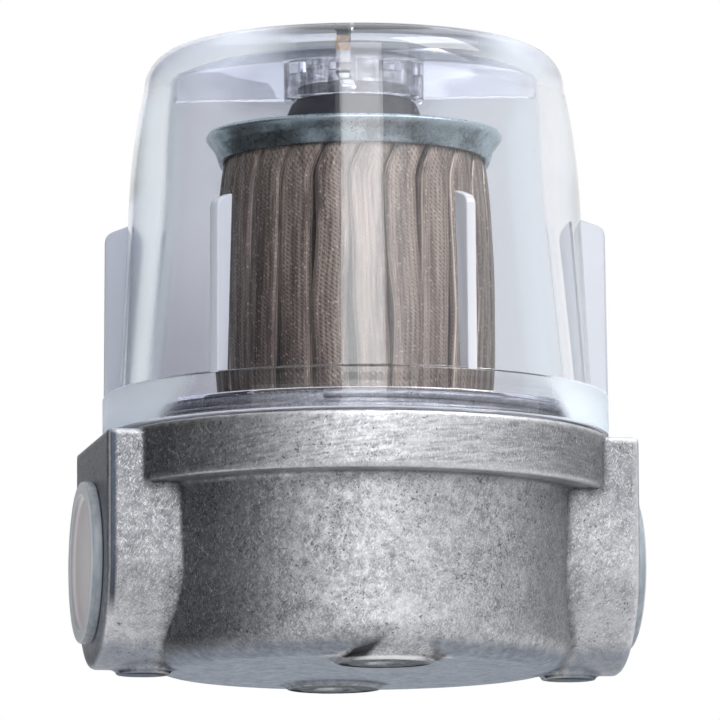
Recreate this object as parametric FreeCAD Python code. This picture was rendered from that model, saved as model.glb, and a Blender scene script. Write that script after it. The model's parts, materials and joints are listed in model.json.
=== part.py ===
"""Heating oil filter: die-cast head with two pipe ports, clear screw-on bowl, pleated mesh cartridge.

Millimetres, +Z up. The bowl stands on top, as the filter is stored. The origin is on the bowl's axis,
in the plane of the base bosses that the filter stands on. X runs along the two ports, -Y is the front.
"""
import FreeCAD
import Part
import math
import os

V = FreeCAD.Vector
Z_AXIS = V(0, 0, 1)
ORIGIN = V(0, 0, 0)

# Head casting, outside
flange_r = 41.5
port_reach = 2.25            # how far the port faces stand out past the flange
port_arm_half_width = 17.4   # half the width of a port arm, and the radius of its round underside
port_arm_top_drop = 0.6      # how far an arm's top lies below the flange's top
port_arm_edge_round = 0.7
flange_top_z = 38.8
flange_thickness = 9.2
flange_edge_chamfer = 0.3
flange_underside_fillet = 1.4
flange_overhang = 5.1        # from the cup's wall to the flange's edge
cup_draft_deg = 2.5
cup_corner_r = 5.0
base_plane_z = 0.8           # the cup's flat bottom and the arms' undersides, above the boss ends

# Base bosses and pads, all ending in the plane z = 0
front_boss_y = -24.0
boss_spacing = 45.0
boss_r = 7.9
boss_root_z = 6.5
boss_hole_r = 2.5            # tapping size of an M6 screw
boss_hole_depth = 6.0
boss_hole_chamfer = 0.5
pad_r = 4.5
pad_inset = 8.45             # from a port face to the middle of its pad
pad_root_z = 2.5

# Head casting, inside
neck_inset = 3.2             # from the flange's edge to the crest of the neck's male thread
neck_height = 3.6
neck_chamfer = 0.4
neck_wall = 4.5
cavity_draft_deg = 4.0
cavity_floor_z = 8.0
cavity_floor_fillet = 3.0
seal_groove_inset = 0.6      # from the groove's outer side to the flange's edge
seal_groove_width = 1.9
seal_groove_depth = 1.5
port_bore_r = 7.475          # inside a G 3/8 thread
port_thread_length = 12.75
port_chamfer = 0.9
outlet_duct_r = 5.6
outlet_duct_wall = 3.4
column_r = 12.0
column_seat_rise = 0.4       # seat above the top of the outlet duct
spigot_r = 8.4
spigot_height = 4.4
spigot_chamfer = 0.6

# Seal between the head and the bowl
seal_side_gap = 0.1
seal_proud = 0.2

# Bowl
bowl_lift_gap = 0.35         # between the flange and the bowl's ring, on the seal
thread_gap = 0.3             # between the neck and the ring's bore
neck_top_gap = 0.3
ring_height = 7.2
ring_edge_chamfer = 0.4
bowl_height = 65.8           # from the flange to the top of the dome
bowl_foot_inset = 2.75       # from the ring's edge to the wall that rises from it
bowl_draft_deg = 2.9
bowl_crown_height = 25.5     # upper part of the wall, which leans in
bowl_corner_height = 7.5
bowl_crown_in = 1.56
bowl_corner_r = 6.0
dome_rise = 1.3
bowl_foot_wall = 4.05
bowl_inner_draft_deg = 4.9
bowl_inner_corner_r = 4.8
dome_thickness = 2.7
lug_count = 6
lug_height = 27.4
lug_thickness = 1.7
lug_top_slope_deg = 16.0
lug_top_inset = 0.3
lug_corner_r = 2.0
lug_clocking_deg = -13.6     # turns the bowl to where its thread stops
lug_root_depth = 1.5
rib_count = 4
rib_thickness = 2.2
rib_height = 7.7
rib_wall_sink = 0.5
socket_outer_r = 11.5
socket_wall = 1.7
socket_height = 8.2
socket_flare = 2.2
socket_window_count = 8
socket_window_width = 3.4
socket_window_height = 2.6
socket_window_z_up = 3.5

# Cartridge
cap_sheet = 0.7
cap_skirt_r = 22.3
cap_skirt_height = 2.9
cap_rim_r = 24.5
cap_rim_rise = 1.7
cap_plate_drop = 1.2         # plate below the rim's edge
cap_bend_r = 0.9
cap_hub_r = 3.8              # pressed hub on the top cap, inside the buffer's bore
cap_hub_height = 1.8
outlet_gasket_thickness = 1.8
cap_hole_gap = 0.3
bond_thickness = 1.2
bond_side_gap = 0.1
pleat_count = 24
pleat_sheet = 0.4
pleat_end_gap = 0.5          # between the pleats and the skirts of the caps
pleat_bulge = 2.1
pleat_root_gap = 1.4         # between the pleats' roots and the core tube
pleat_lean_deg = 3.0
pleat_levels = 5
pleat_shoulder_drop = 0.14   # how far a pleat's shoulders lie in from its crest, as a share of its depth
pleat_crest_stations = (0.07, 0.30, 0.66, 0.89)   # shoulder, crest, crest, shoulder along one pitch
pleat_mitre_limit = 0.45     # keeps the sheet from growing long points at its tightest folds
pleat_fullness = 0.5         # below 1, the bulge is reached sooner from each cap
core_outer_r = 13.8
core_wall = 0.8
core_hole_r = 1.9
core_hole_rows = 7
core_holes_per_row = 10

# Rubber buffer between the cartridge and the bowl
buffer_gap = 0.3
buffer_body_height = 5.9     # from the cap's plate to the socket's edge, less the gap
buffer_nose_gap = 0.4        # between the nose and the socket
buffer_nose_height = 2.4
buffer_shoulder_r = 10.2
buffer_base_r = 12.6
buffer_base_lip = 1.2
buffer_bore_gap = 0.2        # between the bore and the cap's hub

# Transit plugs in the ports
plug_flange_r = 13.2
plug_flange_thickness = 1.9
plug_face_gap = 0.1
plug_rim_width = 2.2
plug_recess_depth = 0.9
plug_stem_gap = 0.075
plug_stem_length = 9.5
plug_stem_wall = 1.3
plug_edge_chamfer = 0.4

# Worked out from the sizes above
port_face_x = flange_r + port_reach
port_axis_z = base_plane_z + port_arm_half_width
flange_under_z = flange_top_z - flange_thickness
cup_top_r = flange_r - flange_overhang
neck_r = flange_r - neck_inset
cavity_mouth_r = neck_r - neck_wall
groove_outer_r = flange_r - seal_groove_inset
groove_inner_r = groove_outer_r - seal_groove_width
column_seat_z = port_axis_z + outlet_duct_r + outlet_duct_wall + column_seat_rise
neck_top_z = flange_top_z + neck_height
ring_bottom_z = flange_top_z + bowl_lift_gap
ring_top_z = flange_top_z + ring_height
ring_bore_r = neck_r + thread_gap
shoulder_z = neck_top_z + neck_top_gap
bowl_foot_r = flange_r - bowl_foot_inset
bowl_inner_foot_r = bowl_foot_r - bowl_foot_wall
bowl_top_z = flange_top_z + bowl_height
dome_edge_z = bowl_top_z - dome_rise
inner_top_z = bowl_top_z - dome_thickness
socket_bottom_z = inner_top_z - socket_height
rib_bottom_z = inner_top_z - rib_height
buffer_shoulder_z = socket_bottom_z - buffer_gap
top_plate_z = buffer_shoulder_z - buffer_body_height
bottom_plate_z = column_seat_z + outlet_gasket_thickness + cap_sheet
mesh_bottom_z = bottom_plate_z + bond_thickness
mesh_top_z = top_plate_z - cap_sheet - bond_thickness
core_inner_r = core_outer_r - core_wall
pleat_root_r = core_outer_r + pleat_root_gap
pleat_end_r = cap_skirt_r - cap_sheet - pleat_end_gap
buffer_nose_r = socket_outer_r - socket_wall - buffer_nose_gap
buffer_bore_r = cap_hub_r + buffer_bore_gap


def tan_deg(angle):
    return math.tan(math.radians(angle))


def polar(radius, angle_deg, z=0.0):
    angle = math.radians(angle_deg)
    return V(radius * math.cos(angle), radius * math.sin(angle), z)


def revolve(steps):
    """Turn an outline about Z. A step is a point (r, z), or a pair (middle, end) that ends an arc."""
    points = [step if not isinstance(step[0], tuple) else step[1] for step in steps]
    edges = []
    for index, step in enumerate(steps):
        start = V(points[index - 1][0], 0, points[index - 1][1])
        end = V(points[index][0], 0, points[index][1])
        if isinstance(step[0], tuple):
            middle = V(step[0][0], 0, step[0][1])
            edges.append(Part.Arc(start, middle, end).toShape())
        else:
            edges.append(Part.LineSegment(start, end).toShape())
    return Part.Face(Part.Wire(edges)).revolve(ORIGIN, Z_AXIS, 360)


def corner_arc(start, end, centre):
    """An arc step from start to end about centre, for an outline given to revolve."""
    radius = math.hypot(start[0] - centre[0], start[1] - centre[1])
    mean_r = (start[0] + end[0]) / 2 - centre[0]
    mean_z = (start[1] + end[1]) / 2 - centre[1]
    reach = radius / math.hypot(mean_r, mean_z)
    return ((centre[0] + mean_r * reach, centre[1] + mean_z * reach), end)


def dome_arc(edge, rise, end):
    """An arc step along a shallow dome, between its edge and its middle, that ends at end."""
    edge_r, edge_z = edge
    dome_r = (edge_r ** 2 + rise ** 2) / (2 * rise)
    half_way = edge_r / 2
    height = math.sqrt(dome_r ** 2 - half_way ** 2) - (dome_r - rise)
    return ((half_way, edge_z + height), end)


def ring(inner_r, outer_r, z_low, z_high):
    return revolve([(inner_r, z_low), (outer_r, z_low), (outer_r, z_high), (inner_r, z_high)])


def disc(radius, z_low, z_high):
    return Part.makeCylinder(radius, z_high - z_low, V(0, 0, z_low))


def chamfered_hole(radius, depth, chamfer, mouth, direction):
    """A hole cutter from its mouth along direction, with a countersunk mouth."""
    hole = Part.makeCylinder(radius, depth, mouth, direction)
    sink = Part.makeCone(radius + chamfer, radius, chamfer, mouth, direction)
    return hole.fuse(sink)


def port_arms():
    """Both port arms as one bar: flat top, upright sides and a round underside."""
    width = port_arm_half_width
    top = flange_top_z - port_arm_top_drop
    start = V(-port_face_x, -width, port_axis_z)
    low = V(-port_face_x, 0, port_axis_z - width)
    end = V(-port_face_x, width, port_axis_z)
    corner_back = V(-port_face_x, width, top)
    corner_front = V(-port_face_x, -width, top)
    outline = Part.Wire([
        Part.Arc(start, low, end).toShape(),
        Part.LineSegment(end, corner_back).toShape(),
        Part.LineSegment(corner_back, corner_front).toShape(),
        Part.LineSegment(corner_front, start).toShape(),
    ])
    bar = Part.Face(outline).extrude(V(2 * port_face_x, 0, 0))
    end_edges = []
    for edge in bar.Edges:
        if abs(abs(edge.CenterOfMass.x) - port_face_x) < port_arm_edge_round / 10:
            end_edges.append(edge)
    return bar.makeFillet(port_arm_edge_round, end_edges)


def head_outside():
    slope = tan_deg(cup_draft_deg)
    fillet = flange_underside_fillet
    corner = cup_corner_r
    corner_r = cup_top_r - slope * (flange_under_z - base_plane_z - corner)
    wall_low = (corner_r, base_plane_z + corner)
    flat_edge = (corner_r - corner, base_plane_z)
    wall_high = (cup_top_r - slope * fillet, flange_under_z - fillet)
    under_edge = (cup_top_r + fillet, flange_under_z)
    chamfer = flange_edge_chamfer
    return revolve([
        (0, base_plane_z),
        flat_edge,
        corner_arc(flat_edge, wall_low, (corner_r - corner, base_plane_z + corner)),
        wall_high,
        corner_arc(wall_high, under_edge, (cup_top_r + fillet, flange_under_z - fillet)),
        (flange_r - chamfer, flange_under_z),
        (flange_r, flange_under_z + chamfer),
        (flange_r, flange_top_z - chamfer),
        (flange_r - chamfer, flange_top_z),
        (neck_r, flange_top_z),
        (neck_r, neck_top_z - neck_chamfer),
        (neck_r - neck_chamfer, neck_top_z),
        (0, neck_top_z),
    ])


def head_cavity():
    slope = tan_deg(cavity_draft_deg)
    fillet = cavity_floor_fillet
    low_r = cavity_mouth_r - slope * (neck_top_z - cavity_floor_z - fillet)
    wall_low = (low_r, cavity_floor_z + fillet)
    floor_edge = (low_r - fillet, cavity_floor_z)
    return revolve([
        (0, cavity_floor_z),
        floor_edge,
        corner_arc(floor_edge, wall_low, (low_r - fillet, cavity_floor_z + fillet)),
        (cavity_mouth_r, neck_top_z),
        (0, neck_top_z),
    ])


def outlet_column():
    """The column that the cartridge stands on, with the duct that joins it to the outlet port."""
    column = disc(column_r, base_plane_z, column_seat_z)
    spigot = revolve([
        (0, column_seat_z - spigot_chamfer),
        (spigot_r, column_seat_z - spigot_chamfer),
        (spigot_r, column_seat_z + spigot_height - spigot_chamfer),
        (spigot_r - spigot_chamfer, column_seat_z + spigot_height),
        (0, column_seat_z + spigot_height),
    ])
    duct_r = outlet_duct_r + outlet_duct_wall
    duct = Part.makeCylinder(duct_r, cavity_mouth_r, V(0, 0, port_axis_z), V(1, 0, 0))
    return column.fuse([spigot, duct])


def head_casting():
    body = head_outside().fuse(port_arms())
    body = body.cut(head_cavity())
    inside = outlet_column().common(head_cavity())
    feet = []
    for boss_y in (front_boss_y, front_boss_y + boss_spacing):
        feet.append(Part.makeCylinder(boss_r, boss_root_z, V(0, boss_y, 0)))
    for side in (-1, 1):
        pad_middle = V(side * (port_face_x - pad_inset), 0, 0)
        feet.append(Part.makeCylinder(pad_r, pad_root_z, pad_middle))
    body = body.fuse([inside] + feet)
    cutters = []
    for side in (-1, 1):
        mouth = V(side * port_face_x, 0, port_axis_z)
        inwards = V(-side, 0, 0)
        cutters.append(chamfered_hole(port_bore_r, port_thread_length, port_chamfer, mouth, inwards))
    cutters.append(Part.makeCylinder(outlet_duct_r, port_face_x, V(0, 0, port_axis_z), V(1, 0, 0)))
    riser_top_z = column_seat_z + spigot_height
    cutters.append(disc(outlet_duct_r, port_axis_z, riser_top_z))
    cutters.append(Part.makeSphere(outlet_duct_r, V(0, 0, port_axis_z)))
    for boss_y in (front_boss_y, front_boss_y + boss_spacing):
        mouth = V(0, boss_y, 0)
        cutters.append(chamfered_hole(boss_hole_r, boss_hole_depth, boss_hole_chamfer, mouth, Z_AXIS))
    groove_floor_z = flange_top_z - seal_groove_depth
    cutters.append(ring(groove_inner_r, groove_outer_r, groove_floor_z, flange_top_z))
    inlet_length = port_face_x - (column_r + cavity_mouth_r) / 2
    inlet_mouth = V(-port_face_x, 0, port_axis_z)
    cutters.append(Part.makeCylinder(port_bore_r, inlet_length, inlet_mouth, V(1, 0, 0)))
    return body.cut(Part.Compound(cutters)).removeSplitter()


def bowl_seal_ring():
    inner_r = groove_inner_r + seal_side_gap
    outer_r = groove_outer_r - seal_side_gap
    return ring(inner_r, outer_r, flange_top_z - seal_groove_depth, flange_top_z + seal_proud)


def bowl_outer_outline():
    """The bowl's outside from the ring's bottom edge up to the middle of the dome."""
    slope = tan_deg(bowl_draft_deg)
    crown_z = bowl_top_z - bowl_crown_height
    corner_z = bowl_top_z - bowl_corner_height
    middle_z = (crown_z + corner_z) / 2
    crown = (bowl_foot_r - slope * (crown_z - ring_top_z), crown_z)
    middle = (bowl_foot_r - slope * (middle_z - ring_top_z) - bowl_crown_in / 4, middle_z)
    corner = (bowl_foot_r - slope * (corner_z - ring_top_z) - bowl_crown_in, corner_z)
    dome_edge = (corner[0] - bowl_corner_r, dome_edge_z)
    turn = math.sqrt(0.5)
    corner_middle = (dome_edge[0] + bowl_corner_r * turn, corner_z + (dome_edge_z - corner_z) * turn)
    chamfer = ring_edge_chamfer
    return [
        (flange_r - chamfer, ring_bottom_z),
        (flange_r, ring_bottom_z + chamfer),
        (flange_r, ring_top_z - chamfer),
        (flange_r - chamfer, ring_top_z),
        (bowl_foot_r, ring_top_z),
        crown,
        (middle, corner),
        (corner_middle, dome_edge),
        dome_arc(dome_edge, dome_rise, (0, bowl_top_z)),
    ]


def bowl_inner_r(z):
    return bowl_inner_foot_r - tan_deg(bowl_inner_draft_deg) * (z - shoulder_z)


def bowl_inner_outline():
    """The bowl's inside from the middle of the dome down to the shoulder over the neck."""
    corner = bowl_inner_corner_r
    dome_side_z = inner_top_z - dome_rise
    wall_z = dome_side_z - corner
    wall_r = bowl_inner_r(wall_z)
    dome_side = (wall_r - corner, dome_side_z)
    return [
        (0, inner_top_z),
        dome_arc(dome_side, dome_rise, dome_side),
        corner_arc(dome_side, (wall_r, wall_z), (wall_r - corner, wall_z)),
        (bowl_inner_foot_r, shoulder_z),
    ]


def grip_lug():
    """One grip lug, drawn at +X: a fin that stands on the ring and backs on to the wall."""
    top_z = ring_top_z + lug_height
    top_r = flange_r - lug_top_inset
    root_r = bowl_inner_r(top_z) + lug_root_depth
    slope = tan_deg(lug_top_slope_deg)
    low_z = ring_top_z - ring_height / 2
    outer_top_z = top_z - slope * (top_r - bowl_foot_r)
    bend_start = V(top_r - lug_corner_r, 0, outer_top_z + slope * lug_corner_r)
    bend_end = V(top_r, 0, outer_top_z - lug_corner_r)
    bend_turn = lug_corner_r * (1 - math.sqrt(0.5))
    bend_middle = V(top_r - bend_turn, 0, outer_top_z - bend_turn + slope * bend_turn)
    root_top = V(root_r, 0, outer_top_z + slope * (top_r - root_r))
    root_low = V(root_r, 0, low_z)
    foot = V(flange_r, 0, low_z)
    outline = Part.Wire([
        Part.LineSegment(root_low, foot).toShape(),
        Part.LineSegment(foot, bend_end).toShape(),
        Part.Arc(bend_end, bend_middle, bend_start).toShape(),
        Part.LineSegment(bend_start, root_top).toShape(),
        Part.LineSegment(root_top, root_low).toShape(),
    ])
    lug = Part.Face(outline).extrude(V(0, lug_thickness, 0))
    lug.translate(V(0, -lug_thickness / 2, 0))
    return lug


def dome_socket():
    """The ring under the dome that locates the rubber buffer, with its row of windows."""
    inner_r = socket_outer_r - socket_wall
    top_z = bowl_top_z - dome_thickness / 2
    flare_top = (socket_outer_r + socket_flare, inner_top_z)
    flare_low = (socket_outer_r, inner_top_z - socket_flare)
    flare_centre = (socket_outer_r + socket_flare, inner_top_z - socket_flare)
    tube = revolve([
        (inner_r, socket_bottom_z),
        (socket_outer_r, socket_bottom_z),
        flare_low,
        corner_arc(flare_low, flare_top, flare_centre),
        (flare_top[0], top_z),
        (inner_r, top_z),
    ])
    window_low_z = socket_bottom_z + socket_window_z_up
    windows = []
    for index in range(socket_window_count):
        window = Part.makeBox(
            socket_wall * 3, socket_window_width, socket_window_height,
            V(inner_r - socket_wall, -socket_window_width / 2, window_low_z))
        window.rotate(ORIGIN, Z_AXIS, (index + 0.5) * 360 / socket_window_count)
        windows.append(window)
    return tube.cut(Part.Compound(windows))


def dome_rib():
    """One radial rib under the dome, drawn at +X, from the socket to the wall."""
    top_z = bowl_top_z - dome_thickness / 2
    start_r = socket_outer_r - socket_wall / 2
    end_r = bowl_inner_r(rib_bottom_z) + rib_wall_sink
    corner = V(start_r, -rib_thickness / 2, rib_bottom_z)
    return Part.makeBox(end_r - start_r, rib_thickness, top_z - rib_bottom_z, corner)


def bowl():
    mouth = [(ring_bore_r, shoulder_z), (ring_bore_r, ring_bottom_z)]
    shell = revolve(bowl_outer_outline() + bowl_inner_outline() + mouth)
    outside = revolve(bowl_outer_outline() + [(0, ring_bottom_z)])
    extras = [dome_socket()]
    for index in range(rib_count):
        rib = dome_rib()
        rib.rotate(ORIGIN, Z_AXIS, lug_clocking_deg + index * 360 / rib_count)
        extras.append(rib.common(outside))
    hollow = revolve([
        (0, ring_bottom_z),
        (ring_bore_r, ring_bottom_z),
        (ring_bore_r, shoulder_z),
        (bowl_inner_foot_r, shoulder_z),
        (bowl_inner_r(inner_top_z), inner_top_z),
        (0, inner_top_z),
    ])
    for index in range(lug_count):
        lug = grip_lug()
        lug.rotate(ORIGIN, Z_AXIS, lug_clocking_deg + index * 360 / lug_count)
        extras.append(lug.cut(hollow))
    return shell.fuse(extras).removeSplitter()


def cap_dish(plate_z, sign, middle):
    """A pressed end cap: plate, skirt round the mesh and a rim that flares the way that sign points.

    middle holds the outline's first and last points, which close the plate round a hole or a hub.
    """
    sheet = cap_sheet
    rim_edge = plate_z + sign * cap_plate_drop
    skirt_end = plate_z - sign * cap_skirt_height
    flare_low = rim_edge - sign * cap_rim_rise
    step = sheet * math.sqrt(0.5)
    first, last = middle
    outline = first + [
        (cap_skirt_r - sheet - cap_bend_r, plate_z),
        (cap_rim_r - step, rim_edge),
        (cap_rim_r, rim_edge - sign * step),
        (cap_skirt_r, flare_low - sign * step),
        (cap_skirt_r, skirt_end),
        (cap_skirt_r - sheet, skirt_end),
        (cap_skirt_r - sheet, plate_z - sign * sheet),
    ] + last
    return revolve(outline)


def element_top_cap():
    """The closed cap, with a hub pressed up into the buffer's bore."""
    low_z = top_plate_z - cap_sheet
    hub_top_z = top_plate_z + cap_hub_height
    outside = [(0, hub_top_z), (cap_hub_r, hub_top_z), (cap_hub_r, top_plate_z)]
    hub_inner_r = cap_hub_r - cap_sheet
    inside = [(hub_inner_r, low_z), (hub_inner_r, hub_top_z - cap_sheet), (0, hub_top_z - cap_sheet)]
    return cap_dish(top_plate_z, 1, (outside, inside))


def element_bottom_cap():
    """The open cap, which slips over the head's spigot and seats on the gasket."""
    low_z = bottom_plate_z - cap_sheet
    hole_r = spigot_r + cap_hole_gap
    return cap_dish(low_z, -1, ([(hole_r, low_z)], [(hole_r, bottom_plate_z)]))


def pleat_outline(z, share):
    """Both sides of the folded sheet at one height, as two closed lists of points."""
    outer_r = pleat_end_r + pleat_bulge * share
    pitch = 360 / pleat_count
    shoulder_r = outer_r - (outer_r - pleat_root_r) * pleat_shoulder_drop
    radii = (shoulder_r, outer_r, outer_r, shoulder_r)
    line = []
    for index in range(pleat_count):
        base = index * pitch
        line.append(polar(pleat_root_r, base, z))
        for station, radius in zip(pleat_crest_stations, radii):
            line.append(polar(radius, base + pitch * station + pleat_lean_deg, z))
    sides = []
    for half in (pleat_sheet / 2, -pleat_sheet / 2):
        side = []
        for index, point in enumerate(line):
            before = line[index - 1]
            after = line[(index + 1) % len(line)]
            first = (point - before).normalize()
            second = (after - point).normalize()
            normal = V(first.y + second.y, -first.x - second.x, 0).normalize()
            reach = half / max(pleat_mitre_limit, normal.dot(V(first.y, -first.x, 0)))
            side.append(point + normal * reach)
        sides.append(side)
    return sides


def pleated_mesh():
    """The filter mesh: one sheet folded into pleats, a little fuller halfway up."""
    outer_wires = []
    inner_wires = []
    for level in range(pleat_levels):
        share = level / (pleat_levels - 1)
        z = mesh_bottom_z + (mesh_top_z - mesh_bottom_z) * share
        outer_side, inner_side = pleat_outline(z, math.sin(math.pi * share) ** pleat_fullness)
        outer_wires.append(Part.makePolygon(outer_side + [outer_side[0]]))
        inner_wires.append(Part.makePolygon(inner_side + [inner_side[0]]))
    outer = Part.makeLoft(outer_wires, True, True)
    inner = Part.makeLoft(inner_wires, True, True)
    return outer.cut(inner)


def core_tube():
    """The perforated tube that keeps the pleats from being drawn in."""
    tube = ring(core_inner_r, core_outer_r, mesh_bottom_z, mesh_top_z)
    pitch = (mesh_top_z - mesh_bottom_z) / core_hole_rows
    drills = []
    for row in range(core_hole_rows):
        hole_z = mesh_bottom_z + (row + 0.5) * pitch
        for index in range(core_holes_per_row):
            angle = (index + row % 2 * 0.5) * 360 / core_holes_per_row
            middle = V(0, 0, hole_z)
            drills.append(Part.makeCylinder(core_hole_r, core_outer_r + core_wall, middle, polar(1, angle)))
    return tube.cut(Part.Compound(drills))


def bond_ring(z_low):
    return ring(core_inner_r, cap_skirt_r - cap_sheet - bond_side_gap, z_low, z_low + bond_thickness)


def top_buffer():
    """A tapered rubber block that holds the cartridge down and centres it in the bowl's socket."""
    nose_z = buffer_shoulder_z + buffer_nose_height
    return revolve([
        (buffer_bore_r, top_plate_z),
        (buffer_base_r, top_plate_z),
        (buffer_base_r, top_plate_z + buffer_base_lip),
        (buffer_shoulder_r, buffer_shoulder_z),
        (buffer_nose_r, buffer_shoulder_z),
        (buffer_nose_r, nose_z),
        (buffer_bore_r, nose_z),
    ])


def port_plug(side):
    """A push-in plug: a stem like a cup, and a flange with a shallow recess in its face."""
    stem_r = port_bore_r - plug_stem_gap
    flange_back = port_face_x + plug_face_gap
    face = flange_back + plug_flange_thickness
    chamfer = plug_edge_chamfer
    stem_end = port_face_x - plug_stem_length
    floor = face - plug_recess_depth
    plug = revolve([
        (0, floor),
        (plug_flange_r - plug_rim_width, floor),
        (plug_flange_r - plug_rim_width, face),
        (plug_flange_r - chamfer, face),
        (plug_flange_r, face - chamfer),
        (plug_flange_r, flange_back),
        (stem_r, flange_back),
        (stem_r, stem_end + chamfer),
        (stem_r - chamfer, stem_end),
        (stem_r - plug_stem_wall, stem_end),
        (stem_r - plug_stem_wall, flange_back),
        (0, flange_back),
    ])
    plug.rotate(ORIGIN, V(0, 1, 0), 90 * side)
    plug.translate(V(0, 0, port_axis_z))
    return plug


def build():
    gasket_low_z = column_seat_z
    gasket_high_z = column_seat_z + outlet_gasket_thickness
    cap_hole_r = spigot_r + cap_hole_gap
    return {
        "head_casting": head_casting(),
        "bowl_seal_ring": bowl_seal_ring(),
        "bowl": bowl(),
        "element_top_cap": element_top_cap(),
        "element_bottom_cap": element_bottom_cap(),
        "pleated_mesh": pleated_mesh(),
        "core_tube": core_tube(),
        "top_bond_ring": bond_ring(mesh_top_z),
        "bottom_bond_ring": bond_ring(bottom_plate_z),
        "outlet_gasket": ring(cap_hole_r, column_r - seal_side_gap, gasket_low_z, gasket_high_z),
        "top_buffer": top_buffer(),
        "left_port_plug": port_plug(-1),
        "right_port_plug": port_plug(1),
    }


os.makedirs("parts", exist_ok=True)
for node, shape in build().items():
    if len(shape.Solids) == 1:
        shape = shape.Solids[0]
    shape.exportStep("parts/" + node + ".step")
    box = shape.BoundBox
    print(node, shape.ShapeType, len(shape.Solids), shape.isValid(), round(shape.Volume, 1),
          [round(value, 2) for value in (box.XMin, box.XMax, box.YMin, box.YMax, box.ZMin, box.ZMax)])
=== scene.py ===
# %% [markdown]
# # A heating oil filter: cast head, clear bowl, pleated mesh
# The solids come from the CAD model, in metres, with +Z up. The filter stands on the bosses of its
# head with the bowl on top. Each step below makes the shape of one piece, or a finish for it.
# The CAD box is kept here.

# %% Load the solids
import json
import math

import bmesh
import bpy
from mathutils import Matrix, Quaternion, Vector

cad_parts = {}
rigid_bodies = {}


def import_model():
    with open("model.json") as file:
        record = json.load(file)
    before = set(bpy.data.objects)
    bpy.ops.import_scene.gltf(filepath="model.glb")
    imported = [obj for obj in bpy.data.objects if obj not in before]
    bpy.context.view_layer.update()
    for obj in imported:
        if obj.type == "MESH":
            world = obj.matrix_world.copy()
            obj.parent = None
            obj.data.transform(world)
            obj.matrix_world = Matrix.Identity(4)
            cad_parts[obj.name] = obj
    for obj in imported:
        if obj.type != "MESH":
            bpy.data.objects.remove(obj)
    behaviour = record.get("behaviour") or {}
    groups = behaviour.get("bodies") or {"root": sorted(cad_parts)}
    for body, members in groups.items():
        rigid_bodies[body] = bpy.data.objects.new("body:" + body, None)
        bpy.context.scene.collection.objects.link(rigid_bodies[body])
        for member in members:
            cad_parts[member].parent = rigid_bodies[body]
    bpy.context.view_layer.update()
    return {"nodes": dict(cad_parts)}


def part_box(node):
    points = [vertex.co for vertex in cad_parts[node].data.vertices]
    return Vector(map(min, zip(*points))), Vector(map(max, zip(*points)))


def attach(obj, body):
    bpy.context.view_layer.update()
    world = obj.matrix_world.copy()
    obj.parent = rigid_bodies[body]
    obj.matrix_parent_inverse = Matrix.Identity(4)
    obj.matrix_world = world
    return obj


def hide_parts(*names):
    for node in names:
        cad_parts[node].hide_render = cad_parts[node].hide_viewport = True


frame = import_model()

MM = 0.001

# %% [markdown]
# The main sizes are read from the solids, so that the looks follow the CAD model. A node's lowest and
# highest corner are enough for a turned piece: they give its radius and height.

# %% Main sizes, from the solids
head_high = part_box("head_casting")[1]
bowl_low, bowl_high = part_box("bowl")
cap_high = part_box("element_top_cap")[1]
base_cap_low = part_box("element_bottom_cap")[0]
mesh_low, mesh_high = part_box("pleated_mesh")
buffer_low, buffer_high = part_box("top_buffer")
seal_low, seal_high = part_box("bowl_seal_ring")
plug_low, plug_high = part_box("right_port_plug")
FLANGE_R = bowl_high.x
RING_GAP = 0.35 * MM
FLANGE_TOP = bowl_low.z - RING_GAP
PORT_FACE = head_high.x
PORT_Z = (plug_low.z + plug_high.z) / 2
print("flange radius and top, mm:", round(FLANGE_R / MM, 2), round(FLANGE_TOP / MM, 2))

# %% [markdown]
# The photograph was taken with a long lens from a little below, which keeps upright lines parallel
# and shows the underside of the flange. The camera stands left of the front, so one port shows.

# %% Camera
CAMERA_AZIMUTH = -10.576
CAMERA_ELEVATION = -7.897
CAMERA_DISTANCE = 1201.4 * MM
CAMERA_LENS = 365.8
CAMERA_ROLL = -0.32
AIM_HEIGHT = 52.35 * MM
AIM_SHIFT = 0.78 * MM


def linked(name, data):
    """A new object in the scene that shows this mesh, lamp or camera."""
    obj = bpy.data.objects.new(name, data)
    bpy.context.scene.collection.objects.link(obj)
    return obj


def towards(azimuth, elevation):
    """The unit vector from the filter to an azimuth and elevation in degrees; azimuth 0 is the front."""
    turn = math.radians(azimuth)
    rise = math.radians(elevation)
    return Vector((math.sin(turn) * math.cos(rise), -math.cos(turn) * math.cos(rise), math.sin(rise)))


camera_data = bpy.data.cameras.new("camera")
camera_data.lens = CAMERA_LENS
camera = linked("camera", camera_data)
to_camera = towards(CAMERA_AZIMUTH, CAMERA_ELEVATION)
camera_right = towards(CAMERA_AZIMUTH + 90, 0)
camera.location = Vector((0, 0, AIM_HEIGHT)) + camera_right * AIM_SHIFT + to_camera * CAMERA_DISTANCE
camera.rotation_mode = "QUATERNION"
level = (-to_camera).to_track_quat("-Z", "Y")
camera.rotation_quaternion = Quaternion(to_camera, math.radians(CAMERA_ROLL)) @ level
bpy.context.scene.camera = camera
print("camera at, m:", [round(value, 3) for value in camera.location])

# %% [markdown]
# A node tree, for a shader or for geometry, is easier to read when each node is one call: add makes a
# node, and sets or links its inputs. What a node puts out is wrapped, so that plain arithmetic on it,
# such as clouds * 0.45 + dimples, adds the Math nodes that work it out.

# %% Node helpers: what a node puts out


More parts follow.
